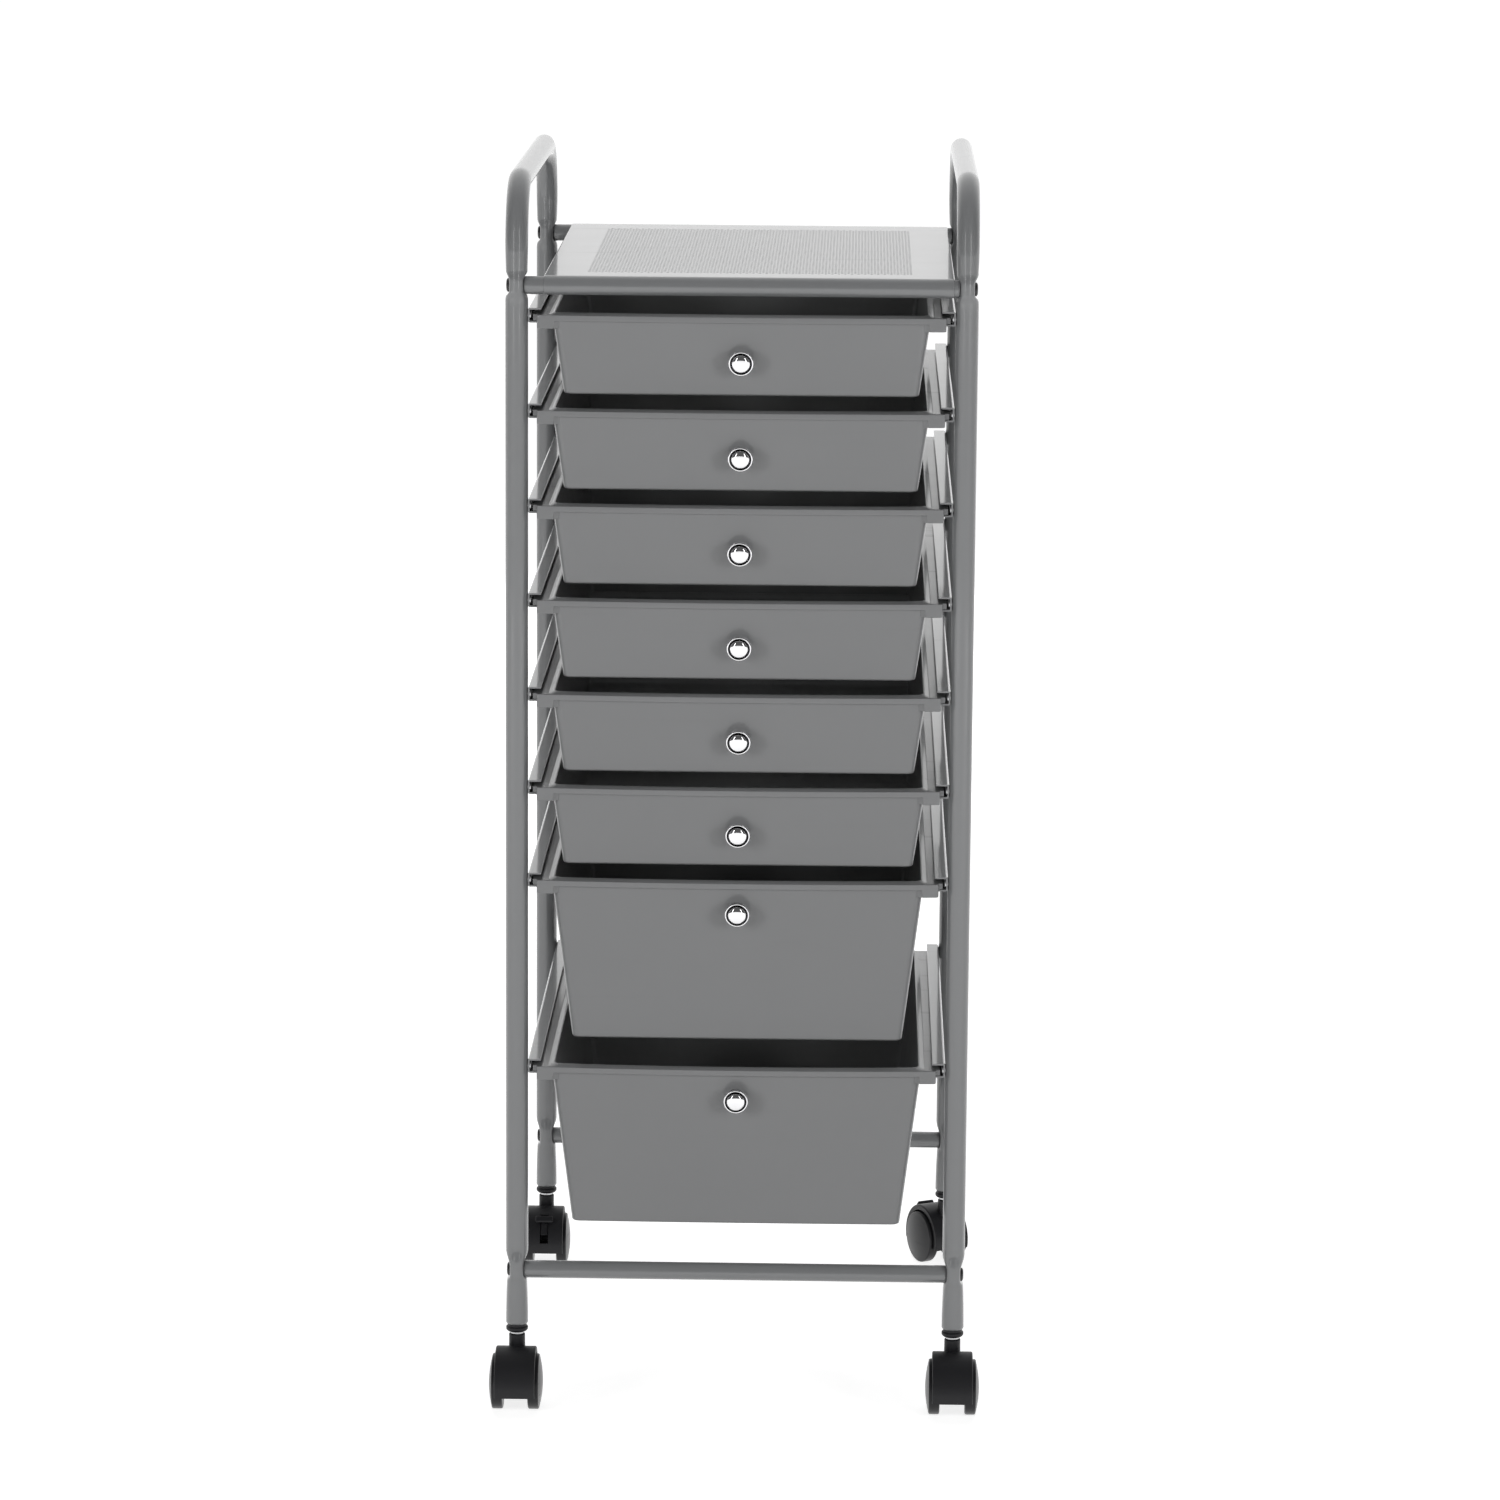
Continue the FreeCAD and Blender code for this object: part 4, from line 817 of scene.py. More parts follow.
class CART_OT_rails(bpy.types.Operator):
    """Make the sixteen channel rails, eight a side"""
    bl_idname = "cart.rails"
    bl_label = "Rails"

    def execute(self, context):
        strip = rail_strip(context.scene.cart_shape)
        for side, sign in SIDES.items():
            patches = []
            for number in DRAWERS:
                place = (sign * RAIL_HIGH[0], 0, RIMS[number] - RAIL_DROP)
                patches += [moved((points * [-sign, 1, 1], faces), place) for points, faces in strip]
            make_piece(
                "channel_rails_" + side, patches, paint("rail_paint"), "frame",
                ["rails_" + side])
        return {"FINISHED"}


FRONT_COLUMNS = 14
CORNER_COLUMNS = 11
SIDE_COLUMNS = 12
BACK_CORNER_COLUMNS = 7
BACK_COLUMNS = 7
# Columns of the rim, counted from the first one of its front corner
TAB_FIRST = 2
TAB_LAST = 7
SIDE_FIRST = 4
FLANGE_FIRST = 10
# Columns of the rim's back corner that still lie on its side
BACK_LEAD = 2
# The rim's back corner, as millimetres in from its side and from its back
BACK_ROUND = ((0.0, 5.0), (0.0, 2.0), (0.15, 1.0), (0.6, 0.4), (1.2, 0.1), (2.0, 0.0))
TAB_ROOT = 1.0 * MM
TAB_SLOPE = 0.6 * MM
TAB_STEP = 5.0 * MM
TAB_EASE = 1.2 * MM
TAB_CHAMFER = 0.35 * MM
TAB_BACK_SLOPE = 0.5 * MM
FLANGE_START = 3.8 * MM
RIM_EASE = 0.45 * MM
LIP_EASE = 0.8 * MM
BEAD_CORNER = 5.0 * MM
INNER_START = 2.0 * MM
OUTER_START = 12.0 * MM
INNER_FOOT_R = 1.5 * MM
OUTER_FOOT_R = 2.0 * MM
FLOOR_RING = 15.0 * MM
SPINE_SHARE = 0.6


def half_contour(half, front, back, radius):
    """Right half of a drawer outline: front from the middle, corner arc, side, back corner arc and back."""
    arc = np.linspace(0.0, math.pi / 2, CORNER_COLUMNS)
    back_arc = np.linspace(0.0, math.pi / 2, BACK_CORNER_COLUMNS)
    side = np.linspace(front + radius, back - radius, SIDE_COLUMNS + 2)[1:-1]
    x = np.concatenate([
        np.linspace(0.0, half - radius, FRONT_COLUMNS, endpoint=False),
        half - radius + radius * np.sin(arc),
        0 * side + half,
        half - radius + radius * np.cos(back_arc),
        np.linspace(half - radius, 0.0, BACK_COLUMNS + 1)[1:],
    ])
    y = np.concatenate([
        np.full(FRONT_COLUMNS, front),
        front + radius - radius * np.cos(arc),
        side,
        back - radius + radius * np.sin(back_arc),
        np.full(BACK_COLUMNS, back),
    ])
    return np.stack([x, y], axis=-1)


def bowed(outline, half, bow):
    """Half outline whose front columns are pushed out by a parabola across X."""
    at_front = np.arange(len(outline)) < FRONT_COLUMNS + CORNER_COLUMNS
    push = bow * np.maximum(1 - (outline[:, 0] / half) ** 2, 0.0) * at_front
    return outline - np.stack([0 * push, push], axis=-1)


def rim_outline(shape):
    """Right half of the rim's outer outline: front lip, stop tab, step to the flange, side and back."""
    front = RIM_FRONT + shape.front_bow
    tab = shape.tab_half
    step = front + shape.tab_long
    wall = shape.drawer_half
    root = wall - TAB_ROOT
    corner = np.array([
        (wall - shape.corner, front), (root - TAB_SLOPE, front), (root, front), (root + TAB_STEP, front),
        (tab - TAB_EASE, front), (tab - TAB_CHAMFER, front + TAB_CHAMFER), (tab, front + TAB_EASE),
        (tab, step - TAB_BACK_SLOPE), (tab, step), (FLANGE_HALF, step), (FLANGE_HALF, step + FLANGE_START)])
    back_corner = np.array(
        [(FLANGE_HALF - in_side * MM, RIM_BACK - in_back * MM) for in_side, in_back in BACK_ROUND]
        + [(wall - shape.corner, RIM_BACK)])
    side = np.linspace(corner[-1], back_corner[0], SIDE_COLUMNS + 2)[1:-1]
    middle = np.array([0.0, front])
    lead = np.linspace(middle, corner[0], FRONT_COLUMNS, endpoint=False)
    tail = np.linspace(back_corner[-1], [0.0, RIM_BACK], BACK_COLUMNS + 1)[1:]
    return bowed(np.concatenate([lead, corner, side, back_corner, tail]), tab, shape.front_bow)


def drawer_shell(shape, tall, draft):
    """Moulded tub with its rim top at z = 0, as one closed skin.

    Rows run from a line in the middle of the inside floor up the inside, over the raised bead and the
    flange, round the rim's lip and tabs, down the outside and back to a line under the floor. A row is an
    outline round the drawer at one height, set in from the rim by the walls' draft. Its front is bowed out,
    less towards the foot, where the corners come forward to meet the middle.
    """
    slope = math.tan(draft)
    half = shape.drawer_half
    front = RIM_FRONT + shape.front_bow + shape.rim_stand
    back = RIM_BACK - shape.rim_stand
    bow = shape.front_bow
    wall = shape.wall
    columns = FRONT_COLUMNS + CORNER_COLUMNS + SIDE_COLUMNS + BACK_CORNER_COLUMNS + BACK_COLUMNS
    ones = np.ones(columns)
    rows = []

    def add(outline, height):
        rows.append(np.column_stack([outline, height * ones]))

    def ring(inset_x, inset_y, radius, height):
        lost = bow * (1 - shape.foot_bow) * min(max(-height / tall, 0.0), 1.0)
        outline = half_contour(half - inset_x, front + inset_y - lost, back - inset_y, radius)
        return bowed(outline, half - inset_x, bow - lost)

    def wall_rows(profile, radius):
        for inset, height in profile:
            add(ring(inset, inset, radius * (1 + height / tall / 4), height), height)

    def spine(height):
        outline = ring(0.0, 0.0, shape.corner, height)
        add(np.stack([0 * ones, outline[:, 1] * SPINE_SHARE], axis=-1), height)

    # Inside: floor, foot and wall
    inside = shape.floor - tall
    inner_foot = wall - inside * slope
    profile = filleted(
        (inner_foot + FLOOR_RING, inside), (inner_foot, inside), (wall + INNER_START * slope, -INNER_START),
        INNER_FOOT_R, 6)
    spine(inside)
    wall_rows(profile, shape.corner - wall)
    # Raised bead round the opening, as (side inset, front inset) in millimetres and the share of its height
    lift = shape.rim_bead
    for side_in, front_in, level in (
        (1.9, 2.2, -0.27), (2.3, 3.0, 0.25), (2.3, 3.2, 0.6), (2.2, 3.1, 0.84), (1.9, 2.8, 0.97),
        (1.5, 2.3, 1.0), (0.9, 1.5, 0.9), (-0.2, 0.3, 0.63), (-1.4, -0.8, 0.34), (-2.4, -1.9, 0.05),
    ):
        add(ring(side_in * MM, front_in * MM, BEAD_CORNER, level * lift), level * lift)
    # Flange, rounded outer edge, lip and tabs
    outer = rim_outline(shape)
    order = np.arange(columns)
    corner_at = order - FRONT_COLUMNS
    tab = (corner_at >= TAB_FIRST) & (corner_at <= TAB_LAST)
    at_front = corner_at < FLANGE_FIRST
    at_back = order >= FRONT_COLUMNS + CORNER_COLUMNS + SIDE_COLUMNS + BACK_LEAD
    at_side = (corner_at >= SIDE_FIRST) & ~at_back
    inward = np.stack([-1.0 * at_side, 1.0 * at_front - 1.0 * at_back], axis=-1)
    deep = shape.rim_lip + (shape.tab_tall - shape.rim_lip) * tab
    for inset, drop in ((1.0, 0.0), (0.55, 0.1), (0.2, 0.4), (0.0, 1.0)):
        add(outer + inward * inset * RIM_EASE, -drop * RIM_EASE)
    for inset, rise in ((0.0, 1.0), (0.13, 0.5), (0.29, 0.29), (0.5, 0.13), (1.0, 0.0)):
        add(outer + inward * inset * LIP_EASE, rise * LIP_EASE - deep)
    lip_inner = outer + inward * shape.rim_sheet
    add(lip_inner, -deep)
    # The flange is hollow below along the side, and filled up at the front and back
    under = np.where(at_front | at_back, -deep, -shape.rim_sheet)
    add(lip_inner, under)
    # Outside: wall, foot and floor
    outside = half_contour(half, front, back, shape.corner)
    draw = inward_draft(outside, half, front, back, shape.corner) * (-under * slope)[:, None]
    add(bowed(outside, half, bow) + draw, under)
    foot = tall * slope
    wall_rows(filleted(
        (OUTER_START * slope, -OUTER_START), (foot, -tall), (foot + FLOOR_RING, -tall), OUTER_FOOT_R, 7),
        shape.corner)
    spine(-tall)

    right = np.stack(rows)
    left = right[:, -2:0:-1] * [-1, 1, 1]
    return grid(np.concatenate([right, left], axis=1), wrap_columns=True)


def inward_draft(outline, half, front, back, radius):
    """Inward step of each point of an outline: along X on the sides, along Y at the front and back.

    Each step fades from 1 at its own wall to 0 at the corner radius from it.
    """
    side = np.clip((outline[:, 0] - half + radius) / radius, 0.0, 1.0)
    fore = np.clip((front + radius - outline[:, 1]) / radius, 0.0, 1.0)
    rear = np.clip((outline[:, 1] - back + radius) / radius, 0.0, 1.0)
    return np.stack([-side, fore - rear], axis=-1)


class CART_OT_drawers(bpy.types.Operator):
    """Make the eight moulded drawers, six shallow and two deep"""
    bl_idname = "cart.drawers"
    bl_label = "Drawers"

    def execute(self, context):
        shape = context.scene.cart_shape
        for number in DRAWERS:
            draft = shape.draft_shallow if number <= SHALLOW_COUNT else shape.draft_deep
            shell = drawer_shell(shape, HEIGHTS[number], draft)
            make_piece(
                "drawer_%d_shell" % number, [moved(shell, (0, 0, RIMS[number]))], drawer_material(),
                "drawer_unit_%d" % number, ["drawer_%d" % number])
        return {"FINISHED"}


KNOB_COLUMNS = 64
KNOB_RISE = 2.6 * MM
KNOB_BASE = 6.0 * MM
KNOB_NECK = 4.0 * MM
KNOB_FLARE = 6.8 * MM
CROWN_EDGE = 0.3 * MM
GROOVE_SLACK = 0.05 * MM


def knob_outline(shape):
    """Knob profile from its seat, and a mask of the rows that lie in its groove, which the knob material paints
    with shade.

    The profile runs over a flared base, a neck, a ring head, the groove and a crown, which is part of an
    ellipse.
    """
    radius = shape.knob_width / 2
    end = shape.knob_long
    head = end - KNOB_RISE
    crown = shape.knob_crown
    ring = crown + shape.knob_gap
    floor = head - shape.knob_groove
    body = rounded([
        (0, 0), (KNOB_BASE, 0), (KNOB_BASE, 1.5 * MM), (KNOB_NECK + 0.1 * MM, 2.6 * MM),
        (KNOB_NECK, head - 5.4 * MM), (KNOB_FLARE, head - 4.6 * MM), (radius, head - 2.6 * MM),
        (radius - 0.7 * MM, head), (ring, head + 0.1 * MM), (ring, floor), (crown, floor),
        (crown, head + CROWN_EDGE)],
        np.array([0, 0.4, 0.4, 0.8, 1.2, 1.5, 1.2, 0.6, 0.2, 0.1, 0.1, 0]) * MM)
    rise = KNOB_RISE - CROWN_EDGE
    quarter = np.linspace(1.0, 0.0, 10) * math.pi / 2
    cap = np.stack([crown * np.sin(quarter), end - rise * (1 - np.cos(quarter))], axis=-1)
    outline = np.concatenate([body, cap[1:]])
    across, along = outline.T
    between = (across > crown - GROOVE_SLACK) & (across < ring + GROOVE_SLACK)
    return outline, between & (along > floor - GROOVE_SLACK) & (along < head - 2 * GROOVE_SLACK)


class CART_OT_knobs(bpy.types.Operator):
    """Make the eight polished knobs on the sloping drawer fronts"""
    bl_idname = "cart.knobs"
    bl_label = "Knobs"

    def execute(self, context):
        shape = context.scene.cart_shape
        outline, groove = knob_outline(shape)
        knob = revolve(outline, KNOB_COLUMNS)
        # Painted shade: the groove's points, which the chrome material paints black
        dark = np.repeat(groove, KNOB_COLUMNS)
        wall_front = RIM_FRONT + shape.rim_stand
        for number in DRAWERS:
            drop, draft = shape.knob_drop_shallow, shape.draft_shallow
            if number > SHALLOW_COUNT:
                drop, draft = shape.knob_drop_deep, shape.draft_deep
            out = np.array([0.0, -math.cos(draft), -math.sin(draft)])
            seat = (0, wall_front + drop * math.tan(draft), RIMS[number] - drop)
            make_piece(
                "round_knob_%d" % number, [aimed(knob, seat, out)], chrome_material(),
                "drawer_unit_%d" % number, ["knob_%d" % number], dark)
            finish_node("knob_screw_%d" % number, steel_material())
        return {"FINISHED"}


# Shares of a screw head's width and height
SOCKET_WIDTH = 0.24
SOCKET_FLOOR = 0.35
SOCKET_WALL = 0.45
EDGE_TOP = 0.2
DOME_FOOT = 0.35


def socket_screw(width, tall, shank, long):
    """Low head above z = 0 with a six-sided socket, on a shank below it.

    The head's dome is a quarter of an ellipse from its upright edge in to the socket's rim.
    """
    socket = width * SOCKET_WIDTH
    quarter = np.linspace(1.0, 0.0, 8)[:-1] * math.pi / 2
    arc = np.stack([socket + (width / 2 - socket) * np.sin(quarter),
                    tall * (DOME_FOOT + (1 - DOME_FOOT) * np.cos(quarter))], axis=-1)
    hollow = [(socket, tall), (socket, tall * SOCKET_WALL), (0, tall * SOCKET_FLOOR)]
    outline = np.concatenate([
        [(0, -long), (shank / 2, -long), (shank / 2, 0), (width / 2, 0), (width / 2, tall * EDGE_TOP)], arc,
        hollow])
    sockets = np.arange(len(outline)) >= len(outline) - len(hollow)
    return revolve(outline, 36, sockets)


class CART_OT_fasteners(bpy.types.Operator):
    """Make the blackened screws outside the rod ends and the plated screws in the rails"""
    bl_idname = "cart.fasteners"
    bl_label = "Screws"

    def execute(self, context):
        shape = context.scene.cart_shape
        rod_screw = socket_screw(width=9.8 * MM, tall=2.2 * MM, shank=6.0 * MM, long=20.0 * MM)
        rail_screw = socket_screw(width=6.6 * MM, tall=1.5 * MM, shank=4.0 * MM, long=9.0 * MM)
        rod_screws = []
        rail_screws = []
        outside = 2 * POST_X - ROD_HALF
        seat = RAIL_HIGH[0] - shape.rail_sheet
        for side in SIDES.values():
            for end in ENDS.values():
                for height in ROD_LEVELS.values():
                    rod_screws.append(
                        aimed(rod_screw, (side * outside, end * POST_Y, height), (side, 0, 0), (0, 1, 0)))
                for number in DRAWERS:
                    height = RIMS[number] - RAIL_DROP + RAIL_TALL / 2
                    rail_screws.append(
                        aimed(rail_screw, (side * seat, end * POST_Y, height), (-side, 0, 0), (0, 1, 0)))
        make_piece("rod_screw_set", rod_screws, screw_material(), "frame", ["rod_screws"])
        make_piece("rail_screw_set", rail_screws, steel_material(), "frame", ["rail_screws"])
        finish_node("rod_inserts", steel_material())
        return {"FINISHED"}


class CART_OT_tube_plugs(bpy.types.Operator):
    """Make the plugs in the tube ends and the steel stems that the casters turn on"""
    bl_idname = "cart.tube_plugs"
    bl_label = "Plugs and stems"

    def execute(self, context):
        plug = turned(
            [(0, 0), (6.6, 0), (7.9, 1.4), (7.9, 3.4), (6.9, 3.9), (6.9, 6.0), (6.7, 6.0), (6.7, 21.0),
             (0, 21.0)],
            [0, 1.0, 1.0, 0.9, 0.3, 0.05, 0.05, 1.0, 0])
        stem = turned(
            [(0, -26.0), (3.5, -26.0), (3.5, -1.8), (4.8, -1.8), (4.8, 0), (3.5, 0), (3.5, 18.0), (0, 18.0)],
            [0, 0.6, 0.1, 0.35, 0.35, 0.1, 0.6, 0], 40)
        plugs = []
        stems = []
        for side, end in POSTS.values():
            place = (side * POST_X, end * POST_Y, context.scene.cart_shape.plug_foot)
            plugs.append(moved(plug, place))
            stems.append(moved(stem, place))
        make_piece("tube_plug_set", plugs, black_material(), "frame", ["tube_plugs"])
        make_piece("caster_stem_set", stems, steel_material(), "frame", ["caster_stems"])
        return {"FINISHED"}


def caster_frame(post):
    """Stem place on the floor, cross axis, rearward axis, trail and wheel radius of one caster."""
    stem = np.array(JOINTS["swivel_" + post]["pos_m"]) * [1, 1, 0]
    axle = np.array(JOINTS["spin_left_" + post]["pos_m"])
    across = np.array(JOINTS["spin_left_" + post]["axis"])
    ahead = (axle - stem) * [1, 1, 0]
    return stem, across, -unit(ahead), np.linalg.norm(ahead), axle[2]


def hood_drum(shape, trail, wheel_r, braked):
    """Hood about the axle, in the caster's own frame with the stem on Z.

    An outline in width and radius, a core between the wheels under a wider cap, is carried round the axle.
    Its radius is cut off where it would pass below the lower edge, and the cap's width falls back to the
    core's once the cut passes the cap. The brake's slot is a strip of the outline whose radius drops inside
    the slot's angles.
    """
    core = shape.hood_core
    half = shape.hood_width / 2
    big = shape.hood_radius
    well = big - shape.hood_skin
    drop = wheel_r - shape.hood_edge
    slot = shape.slot_half
    right = rounded(
        [(core, 0), (core, well), (half, well), (half, big), (slot, big)],
        [0, 0.8 * MM, 0.5 * MM, 1.1 * MM, 0], steps=6)
    left = right[::-1] * [-1, 1]
    recess = np.array([(slot, big), (0.0, big), (-slot, big)])
    outline = np.concatenate([right, recess, left])
    in_recess = np.zeros(len(outline), bool)
    in_recess[len(right):len(right) + len(recess)] = True

    slot_low = shape.brake_angle - shape.slot_run
    slot_high = shape.brake_angle + math.asin(shape.slot_above / big)
    cut_cap = math.asin(drop / well)
    cut_rim = math.asin(drop / big)
    far_rim = math.pi + cut_rim
    far_cap = math.pi + cut_cap
    ahead = np.concatenate([np.linspace(-cut_cap, -cut_rim, 5), np.linspace(-cut_rim, slot_low, 8)[1:]])
    opening = np.linspace(slot_low, slot_high, 9)
    behind = np.concatenate([np.linspace(slot_high, far_rim, 40), np.linspace(far_rim, far_cap, 5)[1:]])
    bottom = np.linspace(far_cap, 2 * math.pi - cut_cap, 25)
    turn = np.concatenate([ahead, opening, behind, bottom])
    order = np.arange(len(turn))
    capped = order < len(turn) - len(bottom)
    inside = (order >= len(ahead)) & (order < len(ahead) + len(opening))
    x = np.broadcast_to(outline[:, 0], (len(turn), len(outline)))
    x = np.where(capped[:, None], x, np.clip(x, -core, core))
    radius = np.broadcast_to(outline[:, 1], x.shape)
    if braked:
        radius = np.where(inside[:, None] & in_recess[None], big - shape.slot_deep, radius)
    sink = np.maximum(-np.sin(turn), 1e-6)
    radius = np.minimum(radius, (drop / sink)[:, None])
    radius = np.where(capped[:, None], radius, np.minimum(radius, well))
    points = np.stack([
        x, -trail - radius * np.cos(turn)[:, None], wheel_r + radius * np.sin(turn)[:, None]], axis=-1)
    return grid(points, wrap_rows=True)


def in_caster(patch, post):
    """Patch moved from the caster's own frame to its place under the cart."""
    stem, across, rearward = caster_frame(post)[:3]
    points, faces = patch
    return points @ np.array([across, rearward, [0.0, 0.0, 1.0]]) + stem, faces


class CART_OT_caster_hoods(bpy.types.Operator):
    """Make the four caster hoods with their necks, and finish the axles inside them"""
    bl_idname = "cart.caster_hoods"
    bl_label = "Caster hoods"

    def execute(self, context):
        shape = context.scene.cart_shape
        neck = moved(turned(
            [(0, -24.0), (6.3, -24.0), (5.8, -6.0), (5.8, 0), (3.6, 0), (3.6, -3.0), (0, -3.0)],
            [0, 0.1, 2.0, 0.7, 0.2, 0.1, 0]), (0, 0, shape.neck_top))
        for post, (side, end) in POSTS.items():
            trail, wheel_r = caster_frame(post)[3:]
            drum = hood_drum(shape, trail, wheel_r, end > 0)
            make_piece(
                "twin_hood_" + post, [in_caster(drum, post), in_caster(neck, post)], black_material(),
                "caster_" + post, ["caster_hood_" + post])
            finish_node("caster_axle_" + post, steel_material())
        return {"FINISHED"}


WHEEL_EASE = 1.4 * MM
FACE_LIFT = 0.02 * MM


def wheel_profile(shape, wheel_r):
    """Wheel profile as radius and distance along the axle: flat tread with round edges and a face.

    The face bulges by a parabola, from nothing at its edge to the whole dome in the middle.
    """
    inner = shape.wheel_inner
    rim = inner + shape.wheel_width
    edge = wheel_r - WHEEL_EASE
    tread = rounded(
        [(0, inner), (wheel_r, inner), (wheel_r, rim), (edge, rim + FACE_LIFT)],
        [0, WHEEL_EASE, WHEEL_EASE * 0.9, 0])
    part = np.linspace(1.0, 0.0, 20)[1:]
    dome = rim + shape.wheel_dome * (1 - part * part)
    return np.concatenate([tread, np.stack([edge * part, dome], axis=-1)])


class CART_OT_caster_wheels(bpy.types.Operator):
    """Make the eight domed caster wheels"""
    bl_idname = "cart.caster_wheels"
    bl_label = "Caster wheels"

    def execute(self, context):
        shape = context.scene.cart_shape
        for post in POSTS:
            trail, wheel_r = caster_frame(post)[3:]
            wheel = revolve(wheel_profile(shape, wheel_r), 72)
            for hand, sign in SIDES.items():
                laid = aimed(wheel, (0, -trail, wheel_r), (sign, 0, 0), (0, 1, 0))
                make_piece(
                    "disc_wheel_%s_%s" % (hand, post), [in_caster(laid, post)], wheel_material(),
                    "roller_%s_%s" % (hand, post), ["wheel_%s_%s" % (hand, post)])
        return {"FINISHED"}


PLATE_SINK = 1.5 * MM


def brake_way(angle_up):
    """Direction in the caster's own frame that points to its brake side, at an angle above level."""
    return np.array([0.0, -math.cos(angle_up), math.sin(angle_up)])


class CART_OT_brake_levers(bpy.types.Operator):
    """Make the brake levers of the two rear casters"""
    bl_idname = "cart.brake_levers"
    bl_label = "Brake levers"

    def execute(self, context):
        shape = context.scene.cart_shape
        out = brake_way(shape.brake_angle)
        plate_out = brake_way(shape.brake_angle - shape.plate_lag)
        bar = moved(rounded_box((13.6 * MM, 5.2 * MM, 3.2 * MM), 1.1 * MM), (0, 0.4 * MM, 11.1 * MM))
        arm = moved(rounded_box((3.6 * MM, 3.0 * MM, 10.4 * MM), 0.5 * MM), (0, 0, 6.0 * MM))
        plate = rounded_box((5.6 * MM, 8.8 * MM, 1.6 * MM), 0.5 * MM)
        boss = turned([(0, -2.8), (3.0, -2.8), (3.0, 2.8), (0, 2.8)], [0, 0.4, 0.4, 0], 32)
        boss = aimed(boss, (0, 0, 0), (1, 0, 0), (0, 1, 0))
        for post in ("rear_left", "rear_right"):
            trail, wheel_r = caster_frame(post)[3:]
            axle = np.array([0.0, -trail, wheel_r])
            pivot = axle + (shape.hood_radius - shape.brake_inset) * out
            seat = axle + (shape.hood_radius - PLATE_SINK) * plate_out
            lever = [in_caster(aimed(patch, pivot, out), post) for patch in (bar, arm, boss)]
            lever.append(in_caster(aimed(plate, seat, plate_out), post))
            make_piece(
                "brake_rocker_" + post, lever, black_material(), "brake_" + post,
                ["brake_lever_" + post])
        return {"FINISHED"}


# Each lamp's place in the middle or on the right, the point it faces, its width and its height
SLIM_LAMP = ((1.75, -3.3, 1.4), (0.0, 0.0, 0.6), 0.3, 2.2)
SOFT_LAMP = ((2.7, -2.6, 1.1), (0.0, 0.0, 0.5), 0.9, 1.4)
TOP_LAMP = ((0.0, 0.6, 3.2), (0.0, 0.2, 0.5), 2.0, 1.6)
BACK_LAMP = ((0.0, 3.4, 1.2), (0.0, 0.0, 0.5), 2.4, 1.6)
# The Y of a direction at which the room starts and ends its change from front to back
GLOSS_TURN = (-0.3, 0.9)
DULL_TURN = (-0.4, 0.3)
WHITE = (1.0, 1.0, 1.0, 1.0)
FLOOR_GREY = (0.8, 0.8, 0.8, 1.0)
FLOOR_REACH = 40.0
SENSOR_WIDTH = 36.0
CLIP_END = 200.0


def add_lamp(name, lamp_kind, watts, sign=1, in_gloss=False):
    """Area lamp that faces a point, on the side that sign gives. Gloss shows it where in_gloss says so."""
    place, aim, wide, tall = lamp_kind
    place = np.array(place) * [sign, 1, 1]
    lamp = bpy.data.lights.new(name, "AREA")
    lamp.shape = "RECTANGLE"
    lamp.size = wide
    lamp.size_y = tall
    lamp.energy = watts
    holder = bpy.data.objects.new(name, lamp)
    holder.visible_glossy = in_gloss
    back = unit(place - np.array(aim))
    right = unit(np.cross([0, 0, 1], back))
    turn = np.eye(4)
    turn[:3, :3] = np.column_stack([right, np.cross(back, right), back])
    turn[:3, 3] = place
    holder.matrix_world = Matrix(turn.tolist())
    bpy.context.scene.collection.objects.link(holder)


def shiny_ray(tree, path):
    """1 on the rays that gloss or glass sends out, and 0 on others."""
    return add_node(
        tree, "ShaderNodeMath", {0: path["Is Glossy Ray"], 1: path["Is Transmission Ray"]},
        operation="MAXIMUM").outputs[0]


def ramp(tree, value, start, end, low, high):
    """S-curve from low to high while the value goes from start to end."""
    return add_node(
        tree, "ShaderNodeMapRange",
        {"Value": value, "From Min": start, "From Max": end, "To Min": low, "To Max": high},
        interpolation_type="SMOOTHSTEP").outputs[0]


def studio_world(stage):
    """World that is white to the camera.

    Dull surfaces see a dim room, dimmer behind, and gloss sees it white behind and dark in front.
    """
    world = bpy.data.worlds.new("Studio")
    world.use_nodes = True
    tree = world.node_tree
    tree.nodes.clear()
    way = add_node(tree, "ShaderNodeTexCoord").outputs["Generated"]
    behind = add_node(tree, "ShaderNodeSeparateXYZ", {"Vector": way}).outputs["Y"]
    path = add_node(tree, "ShaderNodeLightPath").outputs
    shade = ramp(tree, behind, *GLOSS_TURN, stage.room_dark, 1.0)
    dull = ramp(tree, behind, *DULL_TURN, stage.room_light, stage.room_dusk)
    level = add_node(tree, "ShaderNodeMix", {"Factor": shiny_ray(tree, path), "A": dull, "B": shade})
    seen = add_node(
        tree, "ShaderNodeMix", {"Factor": path["Is Camera Ray"], "A": level.outputs[0], "B": 1.0})
    glow = add_node(tree, "ShaderNodeBackground", {"Color": WHITE, "Strength": seen.outputs[0]})
    add_node(tree, "ShaderNodeOutputWorld", {"Surface": glow.outputs[0]})
    return world


